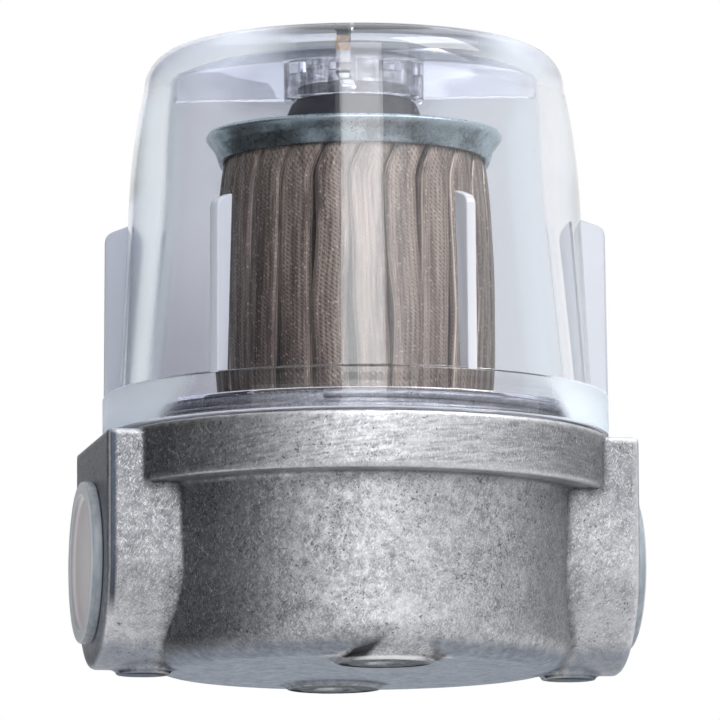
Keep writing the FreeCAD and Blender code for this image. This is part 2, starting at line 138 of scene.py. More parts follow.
class Output:
    """What a node puts out. Arithmetic on it adds Math nodes to its tree."""

    def __init__(self, socket):
        self.socket = socket
        self.tree = socket.id_data

    def __add__(self, other):
        return maths("ADD", self, other)

    def __sub__(self, other):
        return maths("SUBTRACT", self, other)

    def __rsub__(self, other):
        return maths("SUBTRACT", other, self)

    def __mul__(self, other):
        return maths("MULTIPLY", self, other)

    def __truediv__(self, other):
        return maths("DIVIDE", self, other)

    def __rtruediv__(self, other):
        return maths("DIVIDE", other, self)

    def __pow__(self, other):
        return maths("POWER", self, other)

    def __abs__(self):
        return maths("ABSOLUTE", self)


# %% Node helpers: one call for each node


def feed(node, inputs):
    """Sets or links each of these inputs of a node, by name or number."""
    for key, value in inputs.items():
        if isinstance(value, Output):
            value = value.socket
        if isinstance(value, bpy.types.NodeSocket):
            node.id_data.links.new(value, node.inputs[key])
        elif node.inputs[key].type == "RGBA":
            node.inputs[key].default_value = (*value, 1)
        else:
            node.inputs[key].default_value = value


def add(tree, kind, inputs=None, **settings):
    """Adds a node, sets its properties, then feeds its inputs."""
    node = tree.nodes.new(kind)
    for key, value in settings.items():
        setattr(node, key, value)
    feed(node, inputs or {})
    return node


def maths(operation, *values):
    """One Math node; each value is a number or an output, and at least one is an output."""
    tree = next(value.tree for value in values if isinstance(value, Output))
    return Output(add(tree, "ShaderNodeMath", dict(enumerate(values)), operation=operation).outputs[0])


def spread(value, low, high, to_low=0.0, to_high=1.0):
    """Stretches the range low to high of a value to another range, and stops at its ends."""
    ranges = {0: value, 1: low, 2: high, 3: to_low, 4: to_high}
    return Output(add(value.tree, "ShaderNodeMapRange", ranges).outputs[0])


def blend(share, first, second):
    """Mixes two colours; share says how much of the second shows."""
    mix = add(share.tree, "ShaderNodeMix", {0: share, 6: first, 7: second}, data_type="RGBA")
    return Output(mix.outputs[2])


def coated(colour, *coats):
    """Lays coats over a colour. Each coat is how much of it shows, and its own colour."""
    for share, coat in coats:
        colour = blend(share, colour, coat)
    return colour


def split(vector):
    """The x, y and z of a vector."""
    return [Output(part) for part in add(vector.tree, "ShaderNodeSeparateXYZ", {0: vector}).outputs]


def distance(first, second):
    """How far away a point is whose two coordinates are these."""
    return maths("SQRT", first ** 2.0 + second ** 2.0)


# %% [markdown]
# A studio picture of a shiny thing is a picture of its surroundings. A tall soft box beside the camera
# draws the bright stripe on the bowl and the light middle of the casting, and a wider, weaker one
# softens its edge. A third box, high on the right, fills that side, and the last one lights the dome
# from behind and above.

# %% Soft boxes


def soft_box(name, azimuth, elevation, distance, width, height, power):
    """A rectangular area lamp that faces the middle of the filter."""
    data = bpy.data.lights.new(name, "AREA")
    data.shape = "RECTANGLE"
    data.size = width
    data.size_y = height
    data.energy = power
    lamp = linked(name, data)
    outwards = towards(azimuth, elevation)
    lamp.location = Vector((0, 0, AIM_HEIGHT)) + outwards * distance
    lamp.rotation_mode = "QUATERNION"
    lamp.rotation_quaternion = (-outwards).to_track_quat("-Z", "Y")


soft_box("front_strip", CAMERA_AZIMUTH + 4, 26, 1.0, 0.36, 0.80, 3.3)
soft_box("front_wide", CAMERA_AZIMUTH + 12, 26, 1.05, 0.62, 0.80, 1.6)
soft_box("right_box", CAMERA_AZIMUTH + 62, 50, 1.1, 0.6, 0.6, 7.0)
soft_box("top_box", 160, 62, 1.3, 0.9, 0.9, 3.0)
print("soft boxes:", len(bpy.data.lights))

# %% [markdown]
# Black cards stand left and right, out of the camera's sight, and the metal mirrors them: they give the
# casting its dark flanks. A thin grey gel high behind the filter takes a little light off what the clear
# bowl shows of the back.

# %% Cards and gel
CARD_DISTANCE = 560 * MM
CARD_STEPS = 12
CARD_TOP = 0.7
SHADED_TOP = 0.30


def plain_surface(name, colour, roughness):
    """A plain material for what stands round the filter."""
    material = bpy.data.materials.new(name)
    material.use_nodes = True
    feed(material.node_tree.nodes["Principled BSDF"], {"Base Color": colour, "Roughness": roughness})
    return material


def surface_of(tree, shader):
    """Makes this shader the surface of a material."""
    feed(tree.nodes["Material Output"], {"Surface": shader.outputs[0]})


def staged(name, corners, faces, material):
    """A surface that isn't part of the filter."""
    mesh = bpy.data.meshes.new(name)
    mesh.from_pydata(corners, [], faces)
    mesh.materials.append(material)
    panel = linked(name, mesh)
    return panel


def card(name, first, last, low, high, shades_inside=False, sheet=None):
    """A card bent round the filter, between two azimuths from the camera's and two heights."""
    corners = []
    for step in range(CARD_STEPS + 1):
        azimuth = CAMERA_AZIMUTH + first + (last - first) * step / CARD_STEPS
        way = towards(azimuth, 0) * CARD_DISTANCE
        corners += [way + Vector((0, 0, low)), way + Vector((0, 0, high))]
    faces = [(2 * step, 2 * step + 2, 2 * step + 3, 2 * step + 1) for step in range(CARD_STEPS)]
    panel = staged(name, corners, faces, sheet or black_card)
    panel.visible_camera = False
    panel.visible_transmission = shades_inside
    panel.visible_diffuse = shades_inside
    panel.visible_shadow = False
    return panel


black_card = plain_surface("black_card", (0.02, 0.02, 0.022), 0.9)
card("front_left_card", -10, -46, 0.13, SHADED_TOP, shades_inside=True)
card("front_left_card_top", -10, -46, SHADED_TOP, CARD_TOP)
card("left_card", -46, -125, -0.5, SHADED_TOP, shades_inside=True)
card("left_card_top", -46, -125, SHADED_TOP, CARD_TOP)
card("back_left_card", -125, -152, -0.02, CARD_TOP)
card("right_card", 88, 174, -0.02, 0.13)
grey_gel = plain_surface("grey_gel", (1, 1, 1), 0.5)
gel = grey_gel.node_tree
surface_of(gel, add(gel, "ShaderNodeBsdfTransparent", {0: (0.93, 0.94, 0.965)}))
back_gel = card("back_gel", 125, 235, 0.34, 1.1, sheet=grey_gel)
back_gel.visible_transmission = True
cards = [obj.name for obj in bpy.data.objects if "card" in obj.name]
print("cards:", len(cards), "and", back_gel.name)

# %% [markdown]
# The floor only shows from above. Seen from below it lets the white surroundings through, because this
# camera stands lower than the floor and looks up. It does so for rays off shiny metal too, which then
# light the underside of the head.

# %% Floor
FLOOR_HALF = 3
FLOOR_Z = -0.1 * MM
floor_paint = plain_surface("floor_paint", (0.86, 0.87, 0.88), 0.7)
paint = floor_paint.node_tree
below = Output(add(paint, "ShaderNodeNewGeometry").outputs["Backfacing"])
mirrored = add(paint, "ShaderNodeLightPath").outputs["Is Glossy Ray"]
clear = add(paint, "ShaderNodeBsdfTransparent").outputs[0]
painted = paint.nodes["Principled BSDF"].outputs[0]
shown = {0: maths("MAXIMUM", below, mirrored), 1: painted, 2: clear}
surface_of(paint, add(paint, "ShaderNodeMixShader", shown))
ground = [(-FLOOR_HALF, -FLOOR_HALF, FLOOR_Z), (FLOOR_HALF, -FLOOR_HALF, FLOOR_Z),
          (FLOOR_HALF, FLOOR_HALF, FLOOR_Z), (-FLOOR_HALF, FLOOR_HALF, FLOOR_Z)]
staged("floor", ground, [(0, 1, 2, 3)], floor_paint)
print("floor with", floor_paint.name)

# %% [markdown]
# The surroundings are white where the camera, a mirror or glass sees them, and a plainer grey where
# they only light the filter, so pale surfaces keep their colour.

# %% Surroundings
FILL_STRENGTH = 0.42
world = bpy.data.worlds.new("surroundings")
bpy.context.scene.world = world
world.use_nodes = True
sky = world.node_tree
sky.nodes.clear()
path = add(sky, "ShaderNodeLightPath").outputs
seen = Output(path["Is Camera Ray"]) + path["Is Glossy Ray"] + path["Is Transmission Ray"]
fill = add(sky, "ShaderNodeBackground", {"Color": (0.95, 0.97, 1), "Strength": FILL_STRENGTH}).outputs[0]
white = add(sky, "ShaderNodeBackground", {"Color": (1, 1, 1), "Strength": 1.0}).outputs[0]
both = add(sky, "ShaderNodeMixShader", {0: maths("MINIMUM", seen, 1.0), 1: fill, 2: white}).outputs[0]
add(sky, "ShaderNodeOutputWorld", {"Surface": both})
bpy.context.scene.view_settings.view_transform = "Standard"
print("world:", world.name)

# %% [markdown]
# Most pieces of a filter are turned or moulded round one axis. A lathe helper takes half a section and
# turns it. Sharp corners look false even on a machined part, so a second helper rounds the corners of
# the section first: each corner is a radius, a height and the size of its round.

# %% Sections and the lathe
ROUND_STEPS = 5


def rectangle(near, far, low, high):
    """The four corners of an upright rectangle."""
    return [(near, low), (far, low), (far, high), (near, high)]


def on_arc(centre, first, last, share):
    """A point on the arc round a centre, a share of the way from first to last."""
    arm = first - centre
    return centre + arm.slerp(last - centre, share) * arm.length


def rounded(corners):
    """A closed outline from corners (r, z, round), each round given as an arc of a few points."""
    outline = []
    for index, (r, z, size) in enumerate(corners):
        corner = Vector((r, z))
        if size <= 0:
            outline.append(corner)
            continue
        before = (Vector(corners[index - 1][:2]) - corner).normalized()
        after = (Vector(corners[(index + 1) % len(corners)][:2]) - corner).normalized()
        half = before.angle(after) / 2
        start = corner + before * (size / math.tan(half))
        end = corner + after * (size / math.tan(half))
        centre = corner + (before + after).normalized() * (size / math.sin(half))
        outline += [on_arc(centre, start, end, step / ROUND_STEPS) for step in range(ROUND_STEPS + 1)]
    return outline


def mesh_from(build, name):
    """Finishes a bmesh with its faces turned outwards."""
    bmesh.ops.recalc_face_normals(build, faces=build.faces)
    mesh = bpy.data.meshes.new(name)
    build.to_mesh(mesh)
    build.free()
    return mesh


def lathe(name, outline, segments=180):
    """Turns a closed outline of (r, z) points round Z. A point on the axis becomes one vertex."""
    build = bmesh.new()
    rings = []
    for r, z in outline:
        if r == 0:
            rings.append([build.verts.new((0, 0, z))] * segments)
            continue
        turns = [math.tau * step / segments for step in range(segments)]
        rings.append([build.verts.new((r * math.cos(turn), r * math.sin(turn), z)) for turn in turns])
    for index, upper in enumerate(rings):
        lower = rings[index - 1]
        for step in range(segments):
            after = (step + 1) % segments
            corners = list(dict.fromkeys((lower[step], lower[after], upper[after], upper[step])))
            if len(corners) > 2:
                build.faces.new(corners)
    return linked(name, mesh_from(build, name))


def slab(name, outline, thickness):
    """An upright slab: an outline in the XZ plane, given as (x, z) points, with its middle on y = 0."""
    build = bmesh.new()
    sides = []
    for side in (-1, 1):
        sides.append([build.verts.new((x, side * thickness / 2, z)) for x, z in outline])
    build.faces.new(sides[0])
    build.faces.new(list(reversed(sides[1])))
    for index in range(len(outline)):
        before = index - 1
        build.faces.new((sides[0][before], sides[0][index], sides[1][index], sides[1][before]))
    return linked(name, mesh_from(build, name))


# %% [markdown]
# Modifiers stay live until the shape is right. This step turns the result into a plain mesh, because
# the frame wants finished meshes, and sets which edges stay crisp when the surface is shaded smooth.

# %% Plain meshes


def plain(obj):
    """Replaces an object's mesh by what its modifiers make of it."""
    ready = obj.evaluated_get(bpy.context.evaluated_depsgraph_get())
    mesh = bpy.data.meshes.new_from_object(ready)
    obj.modifiers.clear()
    obj.data = mesh
    return obj


def crisp_above(obj, degrees):
    """Smooth shading, apart from edges sharper than this angle."""
    for face in obj.data.polygons:
        face.use_smooth = True
    obj.data.set_sharp_from_angle(angle=math.radians(degrees))
    return obj


def joined(obj, other, operation):
    """Adds, cuts or crosses another closed mesh, and deletes it."""
    modifier = obj.modifiers.new(operation, "BOOLEAN")
    modifier.operation = operation
    modifier.solver = "EXACT"
    modifier.material_mode = "TRANSFER"
    modifier.object = other
    plain(obj)
    bpy.data.objects.remove(other)
    return obj


def merged(obj, other, place=Matrix()):
    """Puts another closed mesh into the same mesh as it is, and deletes it."""
    other.data.transform(place)
    build = bmesh.new()
    build.from_mesh(obj.data)
    build.from_mesh(other.data)
    build.to_mesh(obj.data)
    build.free()
    bpy.data.objects.remove(other)


def bevelled(obj, width):
    """Rounds the sharp edges of a simple solid."""
    modifier = obj.modifiers.new("bevel", "BEVEL")
    modifier.width = width
    modifier.segments = 3
    modifier.limit_method = "ANGLE"
    modifier.angle_limit = math.radians(30)
    return plain(obj)


def turned(name, section, material, crisp, segments=180):
    """A turned piece with its material, from a section whose corners say how round they are."""
    obj = lathe(name, rounded(section), segments)
    obj.data.materials.append(material)
    return crisp_above(obj, crisp)


def copy_of(node):
    """A copy of a node's mesh under a new name, with the loose triangles merged."""
    build = bmesh.new()
    build.from_mesh(frame["nodes"][node].data)
    bmesh.ops.remove_doubles(build, verts=build.verts, dist=0.0001 * MM)
    mesh = bpy.data.meshes.new(node + "_finish")
    build.to_mesh(mesh)
    build.free()
    mesh.materials.clear()
    return linked(node + "_finish", mesh)


def triangles(obj):
    """How many triangles an object's mesh has."""
    return sum(len(face.vertices) - 2 for face in obj.data.polygons)


def seat(obj, body, slot, *nodes):
    """Says which body a finished piece rides on and which solids it stands for; slot is not used."""
    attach(obj, body)
    if nodes:
        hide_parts(*nodes)
    print(obj.name, "rides on", body, "with", triangles(obj), "triangles")


# %% [markdown]
# ## The head
# The head is an aluminium die casting, tumbled with stones to take its burrs off. Nothing on it is
# sharp, and where an arm meets the cup the metal runs together in a small round. Bevels fail on such
# crossings, so the solid is remade from small even cells and smoothed a few times, which rounds every
# edge a little, inside and out. A root under each boss and a lip round the seal go in first.

# %% Head: soft edges
CELL = 0.45 * MM
SMOOTHING_ROUNDS = 3
BOSS_R = 7.9 * MM
BOSS_ROOT_R = 10.4 * MM
BOSS_ROOT_HEIGHT = 4.2 * MM
BOSS_HOLE_R = 3.2 * MM
FRONT_BOSS_Y = -24.0 * MM
BOSS_SPACING = 45.0 * MM
LIP_THICKNESS = 1.4 * MM
LIP_DEPTH = 2.2 * MM
ROOT_LOW = 0.2 * MM
OVERLAP = 0.1 * MM
head = copy_of("head_casting")
root_outline = [(BOSS_HOLE_R, ROOT_LOW), (BOSS_R - OVERLAP, ROOT_LOW),
                (BOSS_ROOT_R, BOSS_ROOT_HEIGHT), (BOSS_HOLE_R, BOSS_ROOT_HEIGHT)]
for boss_y in (FRONT_BOSS_Y, FRONT_BOSS_Y + BOSS_SPACING):
    merged(head, lathe("boss_root", root_outline, segments=64), Matrix.Translation((0, boss_y, 0)))
lip_outline = rectangle(FLANGE_R - LIP_THICKNESS, FLANGE_R - OVERLAP, FLANGE_TOP - LIP_DEPTH, FLANGE_TOP)
merged(head, lathe("lip", lip_outline))
cells = head.modifiers.new("cells", "REMESH")
cells.mode = "VOXEL"
cells.voxel_size = CELL
softening = head.modifiers.new("softening", "SMOOTH")
softening.factor = 0.5
softening.iterations = SMOOTHING_ROUNDS
plain(head)
print("head:", triangles(head), "triangles")

# %% [markdown]
# The neck's thread and the threads in the ports are cut into the metal. Here the neck is turned down
# and the bores are opened up by the depth of the thread, and the ridges are added in a later step.

# %% Head: thread roots
NECK_DEPTH = 0.75 * MM
BORE_DEPTH = 0.6 * MM
BORE_R = 7.475 * MM
BORE_LENGTH = 12.0 * MM
BORE_LEAD = 1.2 * MM
NECK_R = FLANGE_R - 3.2 * MM
NECK_LEAD = 0.5 * MM
NEAR = 0.6 * MM
for vertex in head.data.vertices:
    x, y, z = vertex.co
    from_axis = math.hypot(x, y)
    if z > FLANGE_TOP + NECK_LEAD and abs(from_axis - NECK_R) < NEAR:
        vertex.co.x -= x / from_axis * NECK_DEPTH
        vertex.co.y -= y / from_axis * NECK_DEPTH
    from_port_axis = math.hypot(y, z - PORT_Z)
    in_bore = PORT_FACE - BORE_LENGTH < abs(x) < PORT_FACE - BORE_LEAD
    if in_bore and abs(from_port_axis - BORE_R) < NEAR:
        vertex.co.y += y / from_port_axis * BORE_DEPTH
        vertex.co.z += (z - PORT_Z) / from_port_axis * BORE_DEPTH
crisp_above(head, 180)
print("neck turned down to, mm:", round((NECK_R - NECK_DEPTH) / MM, 2))

# %% [markdown]
# Geometry Nodes make what repeats. A tree is built once, with named inputs for its sizes, and used with
# other numbers wherever the same rule applies. Each tree ends in real geometry with a material on it.

# %% Geometry tree helpers


def open_tree(name, sizes):
    """A new geometry tree with these named inputs, and what each of them gives out, by name."""
    tree = bpy.data.node_groups.new(name, "GeometryNodeTree")
    tree.interface.new_socket("Geometry", in_out="OUTPUT", socket_type="NodeSocketGeometry")
    for label, kind in {"Geometry": "Geometry", **sizes, "Material": "Material"}.items():
        tree.interface.new_socket(label, in_out="INPUT", socket_type="NodeSocket" + kind)
    sockets = add(tree, "NodeGroupInput").outputs
    return tree, {socket.name: Output(socket) for socket in sockets if socket.name}


def close_tree(tree, geometry, inputs):
    """Ends a tree: instances become real, and the material is set."""
    real = add(tree, "GeometryNodeRealizeInstances", {0: geometry}).outputs[0]
    painted = add(tree, "GeometryNodeSetMaterial", {0: real, 2: inputs["Material"]}).outputs[0]
    add(tree, "NodeGroupOutput", {0: painted})
    print(tree.name, "tree:", len(tree.nodes), "nodes")
    return tree


def grow(obj, tree, values):
    """Runs a tree on an object with these inputs and keeps the result as a plain mesh."""
    modifier = obj.modifiers.new(tree.name, "NODES")
    modifier.node_group = tree
    for item in tree.interface.items_tree:
        if item.in_out == "INPUT" and item.name in values:
            modifier[item.identifier] = values[item.name]
    plain(obj)
    while obj.data.materials and obj.data.materials[0] != values["Material"]:
        obj.data.materials.pop(index=0)
    return obj


# %% [markdown]
# ## Finishes
# A finish is a Principled shader whose colour, roughness and bump come from noise at the sizes that the
# real surface shows. All noise is placed by Object coordinates, in metres, so it stays on the piece.

# %% Finish helpers


def finish(name, roughness=0.5, metallic=0.0):
    """A new material, its shader and the Object coordinates that place its patterns."""
    material = bpy.data.materials.new(name)
    material.use_nodes = True
    shader = material.node_tree.nodes["Principled BSDF"]
    feed(shader, {"Roughness": roughness, "Metallic": metallic})
    place = Output(add(material.node_tree, "ShaderNodeTexCoord").outputs["Object"])
    return material, shader, place


def noise(place, size, detail=3.0, roughness=0.5):
    """Soft noise whose blotches are about size across."""
    inputs = {"Vector": place, "Scale": 1 / size, "Detail": detail, "Roughness": roughness}
    return Output(add(place.tree, "ShaderNodeTexNoise", inputs).outputs[0])


def stretched(place, scale, turn=(0, 0, 0)):
    """The place turned and stretched, for a pattern with a direction."""
    turned = add(place.tree, "ShaderNodeMapping", {"Vector": place, "Rotation": turn}).outputs[0]
    return Output(add(place.tree, "ShaderNodeMapping", {"Vector": turned, "Scale": scale}).outputs[0])


def grains(place, size):
    """Small random grains: a random number for each, and how far a point is from the grain's middle."""
    cells = add(place.tree, "ShaderNodeTexVoronoi", {"Vector": place, "Scale": 1 / size}).outputs
    chance = add(place.tree, "ShaderNodeSeparateColor", {0: cells["Color"]}).outputs[0]
    return Output(chance), Output(cells["Distance"])


def bump(shader, relief, depth, strength=1.0):
    """Bump of a real depth in metres."""
    inputs = {"Height": relief, "Distance": depth, "Strength": strength}
    feed(shader, {"Normal": add(relief.tree, "ShaderNodeBump", inputs).outputs[0]})


# %% [markdown]
# Tumbled cast aluminium is a mottled grey. Broad cloudy patches of oxide lie under millimetre-sized
# dimples from the stones, and streaks run round the flange. A first cell works out where a point lies
# on the casting, because each part of it looks different: flange, arms, base and bosses.

# %% Cast aluminium: places on the casting
BASE_HEIGHT = 4.6 * MM
BASE_MIDDLE_Y = FRONT_BOSS_Y + BOSS_SPACING / 2
cast_metal, shader, place = finish("cast_aluminium", metallic=1.0)
across, depth_in, height = split(place)
out = abs(across)
sideways = abs(depth_in)
clouds = noise(place, 11 * MM, detail=4)
dimples = noise(place, 1.5 * MM, detail=6, roughness=0.7)
grain = noise(place, 0.34 * MM, detail=4, roughness=0.75)
uneven_height = height + dimples * (2.2 * MM)
normal = Output(add(place.tree, "ShaderNodeTexCoord").outputs["Normal"])
looks_down = spread(split(normal)[2], -0.45, -0.70)
from_middle = depth_in - BASE_MIDDLE_Y
from_boss = distance(out, abs(from_middle) - BOSS_SPACING / 2)
in_front_of_boss = spread(depth_in, FRONT_BOSS_Y - 1 * MM, FRONT_BOSS_Y - 3 * MM)
boss_front = spread(from_boss, BOSS_R + 3.4 * MM, BOSS_R + 2.6 * MM) * in_front_of_boss
low_down = spread(uneven_height, BASE_HEIGHT + 1.7 * MM, BASE_HEIGHT + 1.0 * MM)
on_base = low_down * looks_down * spread(out, 34 * MM, 32 * MM) * (1.0 - boss_front)
on_boss_face = spread(height, 0.30 * MM, 0.15 * MM)
on_flange = spread(height, FLANGE_TOP - 9.5 * MM, FLANGE_TOP - 8 * MM)
on_flange = on_flange * spread(sideways, 17.6 * MM, 18.2 * MM, 0.0, 0.6)
on_arm = spread(out, 33 * MM, 35 * MM) * spread(height, FLANGE_TOP + 1 * MM, FLANGE_TOP)
print("base of the casting, height in mm:", round(BASE_HEIGHT / MM, 2))

# %% [markdown]
# The colour is built in coats, as a painter would: oxide and bright metal first, then painted shade and
# light on each part, then short bright scratches in three directions, and dark pits in fields. The arms
# are painted darker towards the flange and lighter low down, the left arm darker still, and the flanks of
# the cup are painted darker than its middle: painted shade and light in the oxide and metal colours.

# %% Cast aluminium: colour, scratches and pits
OXIDE_AND_SHADE = (0.155, 0.16, 0.175)
BRIGHT_METAL_AND_LIGHT = (0.54, 0.545, 0.57)
SCRATCH_AND_HIGHLIGHT_COLOUR = (0.80, 0.80, 0.81)
PIT_AND_SHADE_COLOUR = (0.06, 0.06, 0.066)
PORT_FACE_COLOUR = (0.50, 0.56, 0.68)
streaks = noise(stretched(place, (0.14, 0.14, 1), (0.12, 0.12, 0)), 0.5 * MM, detail=4, roughness=0.6)
tone = spread(clouds * 0.45 + dimples * 0.85 + grain * 0.75, 0.80, 1.25)
tones = {0: on_flange, 2: tone, 3: spread(streaks, 0.32, 0.66)}
tone = Output(add(place.tree, "ShaderNodeMix", tones).outputs[0])
# Painted shade and light: the arms darker up high and lighter low down, the left arm darker still, the cup's
# flanks darker.
shaded_left_arm = on_arm * spread(across, 0.0, -1 * MM, 0.0, 0.34)
colour = coated(
    blend(tone, OXIDE_AND_SHADE, BRIGHT_METAL_AND_LIGHT),
    (on_arm * spread(height, 14 * MM, 33 * MM, 0.0, 0.62), OXIDE_AND_SHADE),
    (on_arm * spread(height, 18 * MM, 6 * MM, 0.0, 0.35), BRIGHT_METAL_AND_LIGHT),
    (shaded_left_arm * spread(height, 10 * MM, 18 * MM), OXIDE_AND_SHADE),
    (spread(out, 18 * MM, 31 * MM, 0.0, 0.42) * (1.0 - on_arm), OXIDE_AND_SHADE),
    (spread(out, PORT_FACE - 0.8 * MM, PORT_FACE - 0.4 * MM, 0.0, 0.35), PORT_FACE_COLOUR),
)
scratches = None
for turn_y in (0.62, -0.78, -0.30):
    lines = noise(stretched(place, (1, 1, 0.22), (0.35 * turn_y, turn_y, 0)), 0.21 * MM, detail=1)
    lines = spread(lines, 0.60, 0.78)
    scratches = maths("MAXIMUM", scratches, lines) if scratches else lines
scratches = scratches * (1.0 - on_base)
pit_field = noise(place, 0.62 * MM, detail=3, roughness=0.6)
pit_level = spread(noise(place, 7 * MM, detail=2), 0.42, 0.62, 0.30, 0.375)
pits = spread(pit_field - pit_level, 0.03, -0.01) * 0.7
colour = coated(colour, (scratches * 0.55, SCRATCH_AND_HIGHLIGHT_COLOUR), (pits, PIT_AND_SHADE_COLOUR))

# %% [markdown]
# The underside of the base is smoother, and where it looks down it is painted a darker bluish grey, a
# painted shade. The bosses have dull faces. Each boss has a dark far rim, a painted shade. The front one
# has a bright near rim too, a painted highlight, and painted shade beside it in two slanting streaks.

# %% Cast aluminium: base and bosses
BASE_SHADE_DARK = (0.165, 0.185, 0.22)
BASE_SHADE_LIGHT = (0.24, 0.265, 0.31)
BOSS_FACE_DARK = (0.09, 0.088, 0.085)
BOSS_FACE_LIGHT = (0.19, 0.20, 0.21)
brushed = noise(stretched(place, (0.12, 1, 1)), 0.45 * MM, detail=3) * 0.4 + dimples * 0.6
base_shade = blend(spread(brushed, 0.40, 0.60), BASE_SHADE_DARK, BASE_SHADE_LIGHT)
boss_face = blend(spread(dimples, 0.40, 0.60), BOSS_FACE_DARK, BOSS_FACE_LIGHT)
near_ground = spread(height, 0.7 * MM, 0.4 * MM)
# The far rim of each boss gets a painted shade, the near rim of the front boss a painted highlight.
beyond = from_middle - maths("SIGN", from_middle) * (BOSS_SPACING / 2)
far_rim_shade = spread(from_boss, BOSS_R - 2.2 * MM, BOSS_R - 1.9 * MM) * near_ground
far_rim_shade = far_rim_shade * spread(beyond, 0.0, 2.0 * MM, 0.0, 0.95)
near_rim_highlight = spread(from_boss, BOSS_R - 0.9 * MM, BOSS_R - 0.6 * MM) * near_ground
near_rim_highlight = near_rim_highlight * spread(depth_in, FRONT_BOSS_Y - 5 * MM, FRONT_BOSS_Y - 7 * MM, 0.0, 0.8)
# The two slanting streaks beside the front boss are painted shade.
left_streak = spread(abs(across + 7.4 * MM - uneven_height * 0.9), 2.4 * MM, 1.2 * MM)
right_streak = spread(abs(across - 8.4 * MM + uneven_height * 0.3), 1.9 * MM, 0.8 * MM, 0.0, 0.6)
boss_shade_streaks = spread(from_boss, BOSS_R + 3.6 * MM, BOSS_R + 2.4 * MM)
boss_shade_streaks = boss_shade_streaks * maths("MAXIMUM", left_streak, right_streak)
boss_shade_streaks = boss_shade_streaks * spread(uneven_height, 7.4 * MM, 6.0 * MM) * spread(height, 0.3 * MM, 0.6 * MM)
boss_shade_streaks = boss_shade_streaks * spread(depth_in, FRONT_BOSS_Y + 4 * MM, FRONT_BOSS_Y + 2 * MM)
colour = coated(
    colour,
    (on_base * 0.8, base_shade),
    (on_boss_face * 0.9, boss_face),
    (near_rim_highlight, SCRATCH_AND_HIGHLIGHT_COLOUR),
    (far_rim_shade, PIT_AND_SHADE_COLOUR),
    (boss_shade_streaks, PIT_AND_SHADE_COLOUR),
)

# %% [markdown]
# The mesh carries an edge attribute: edges are bright, worn and with a painted highlight, and inner
# corners are darker, with dirt and painted shade. The underside of each arm is painted dark, a painted
# shade, and a dark line follows the left arm's edge beside the port, a painted reflection. Metal turns
# white where it is seen at a slant, so the specular tint keeps the painted shade, the dirt and the dull
# faces dark there too.

# %% Cast aluminium: edges, gloss and relief
UNDER_ARM_SHADE = (0.14, 0.165, 0.21)
DARK_EDGE_REFLECTION_COLOUR = (0.05, 0.06, 0.08)
edge = Output(add(place.tree, "ShaderNodeAttribute", attribute_name="edge").outputs["Fac"])
wear_and_highlight = spread(edge, 0.04, 0.22)
dirt_and_shade = spread(edge, -0.04, -0.22)
from_left_face = across + PORT_FACE
dark_edge_reflection = spread(from_left_face, 1.7 * MM, 1.2 * MM) * spread(from_left_face, 0.3 * MM, 0.6 * MM)
dark_edge_reflection = dark_edge_reflection * spread(sideways, 14 * MM, 16 * MM)
dark_edge_reflection = dark_edge_reflection * spread(uneven_height, 4 * MM, 8 * MM, 0.0, 0.96)
dark_edge_reflection = dark_edge_reflection * spread(height, FLANGE_TOP - 0.5 * MM, FLANGE_TOP - 1.5 * MM)
# Painted: a highlight on edges, shade in inner corners and under the arms, a dark reflection beside the port.
colour = coated(
    colour,
    (dirt_and_shade * 0.7, PIT_AND_SHADE_COLOUR),
    (wear_and_highlight * 0.42, SCRATCH_AND_HIGHLIGHT_COLOUR),
    (on_arm * spread(uneven_height, 6.6 * MM, 4.4 * MM, 0.0, 0.6), UNDER_ARM_SHADE),
    (dark_edge_reflection, DARK_EDGE_REFLECTION_COLOUR),
)
shade_and_dirt = maths("MAXIMUM", maths("MAXIMUM", boss_shade_streaks, far_rim_shade), dirt_and_shade * 0.6)
at_a_slant = coated(
    blend(on_base, (1, 1, 1), (0.80, 0.85, 0.92)),
    (on_boss_face, (0.38, 0.42, 0.46)),
    (shade_and_dirt, (0.06, 0.065, 0.075)),
)
chalky = spread(noise(place, 0.8 * MM, detail=5, roughness=0.75), 0.50, 0.72)
chalky = (chalky * 0.26 + scratches * 0.3) * (1.0 - on_base)
feed(shader, {
    "Base Color": colour,
    "Specular Tint": at_a_slant,
    "Metallic": 1.0 - chalky,
    "Roughness": spread(dimples, 0.3, 0.7, 0.56, 0.42) - scratches * 0.10,
})
dents = noise(place, 3.0 * MM, detail=2)
relief = dimples + grain * 0.35 + dents * 2.5 + scratches * 0.08 - pits * 0.5
bump(shader, relief, 0.07 * MM, strength=0.42 - on_base * 0.25)
print("cast aluminium:", len(place.tree.nodes), "nodes")

# %% [markdown]
# Clear moulded plastic bends light, so it is a full-transmission shader with the index of acrylic, and
# a faint blue-lilac tint. Lamps can't see through bent light, so their shadow rays pass straight
# through a tinted clear shader instead: the cartridge inside is then lit as it should be. So does light
# that is trapped after several inner reflections, which would come out black.

# %% Clear plastic
PLASTIC_TINT = (0.75, 0.765, 0.81)
LUG_TINT = (0.48, 0.50, 0.555)
RIB_TINT = (0.97, 0.97, 0.98)
THROUGH_TINT = (0.88, 0.89, 0.94)
PLASTIC_IOR = 1.49
TRAPPED_AFTER = 4.5


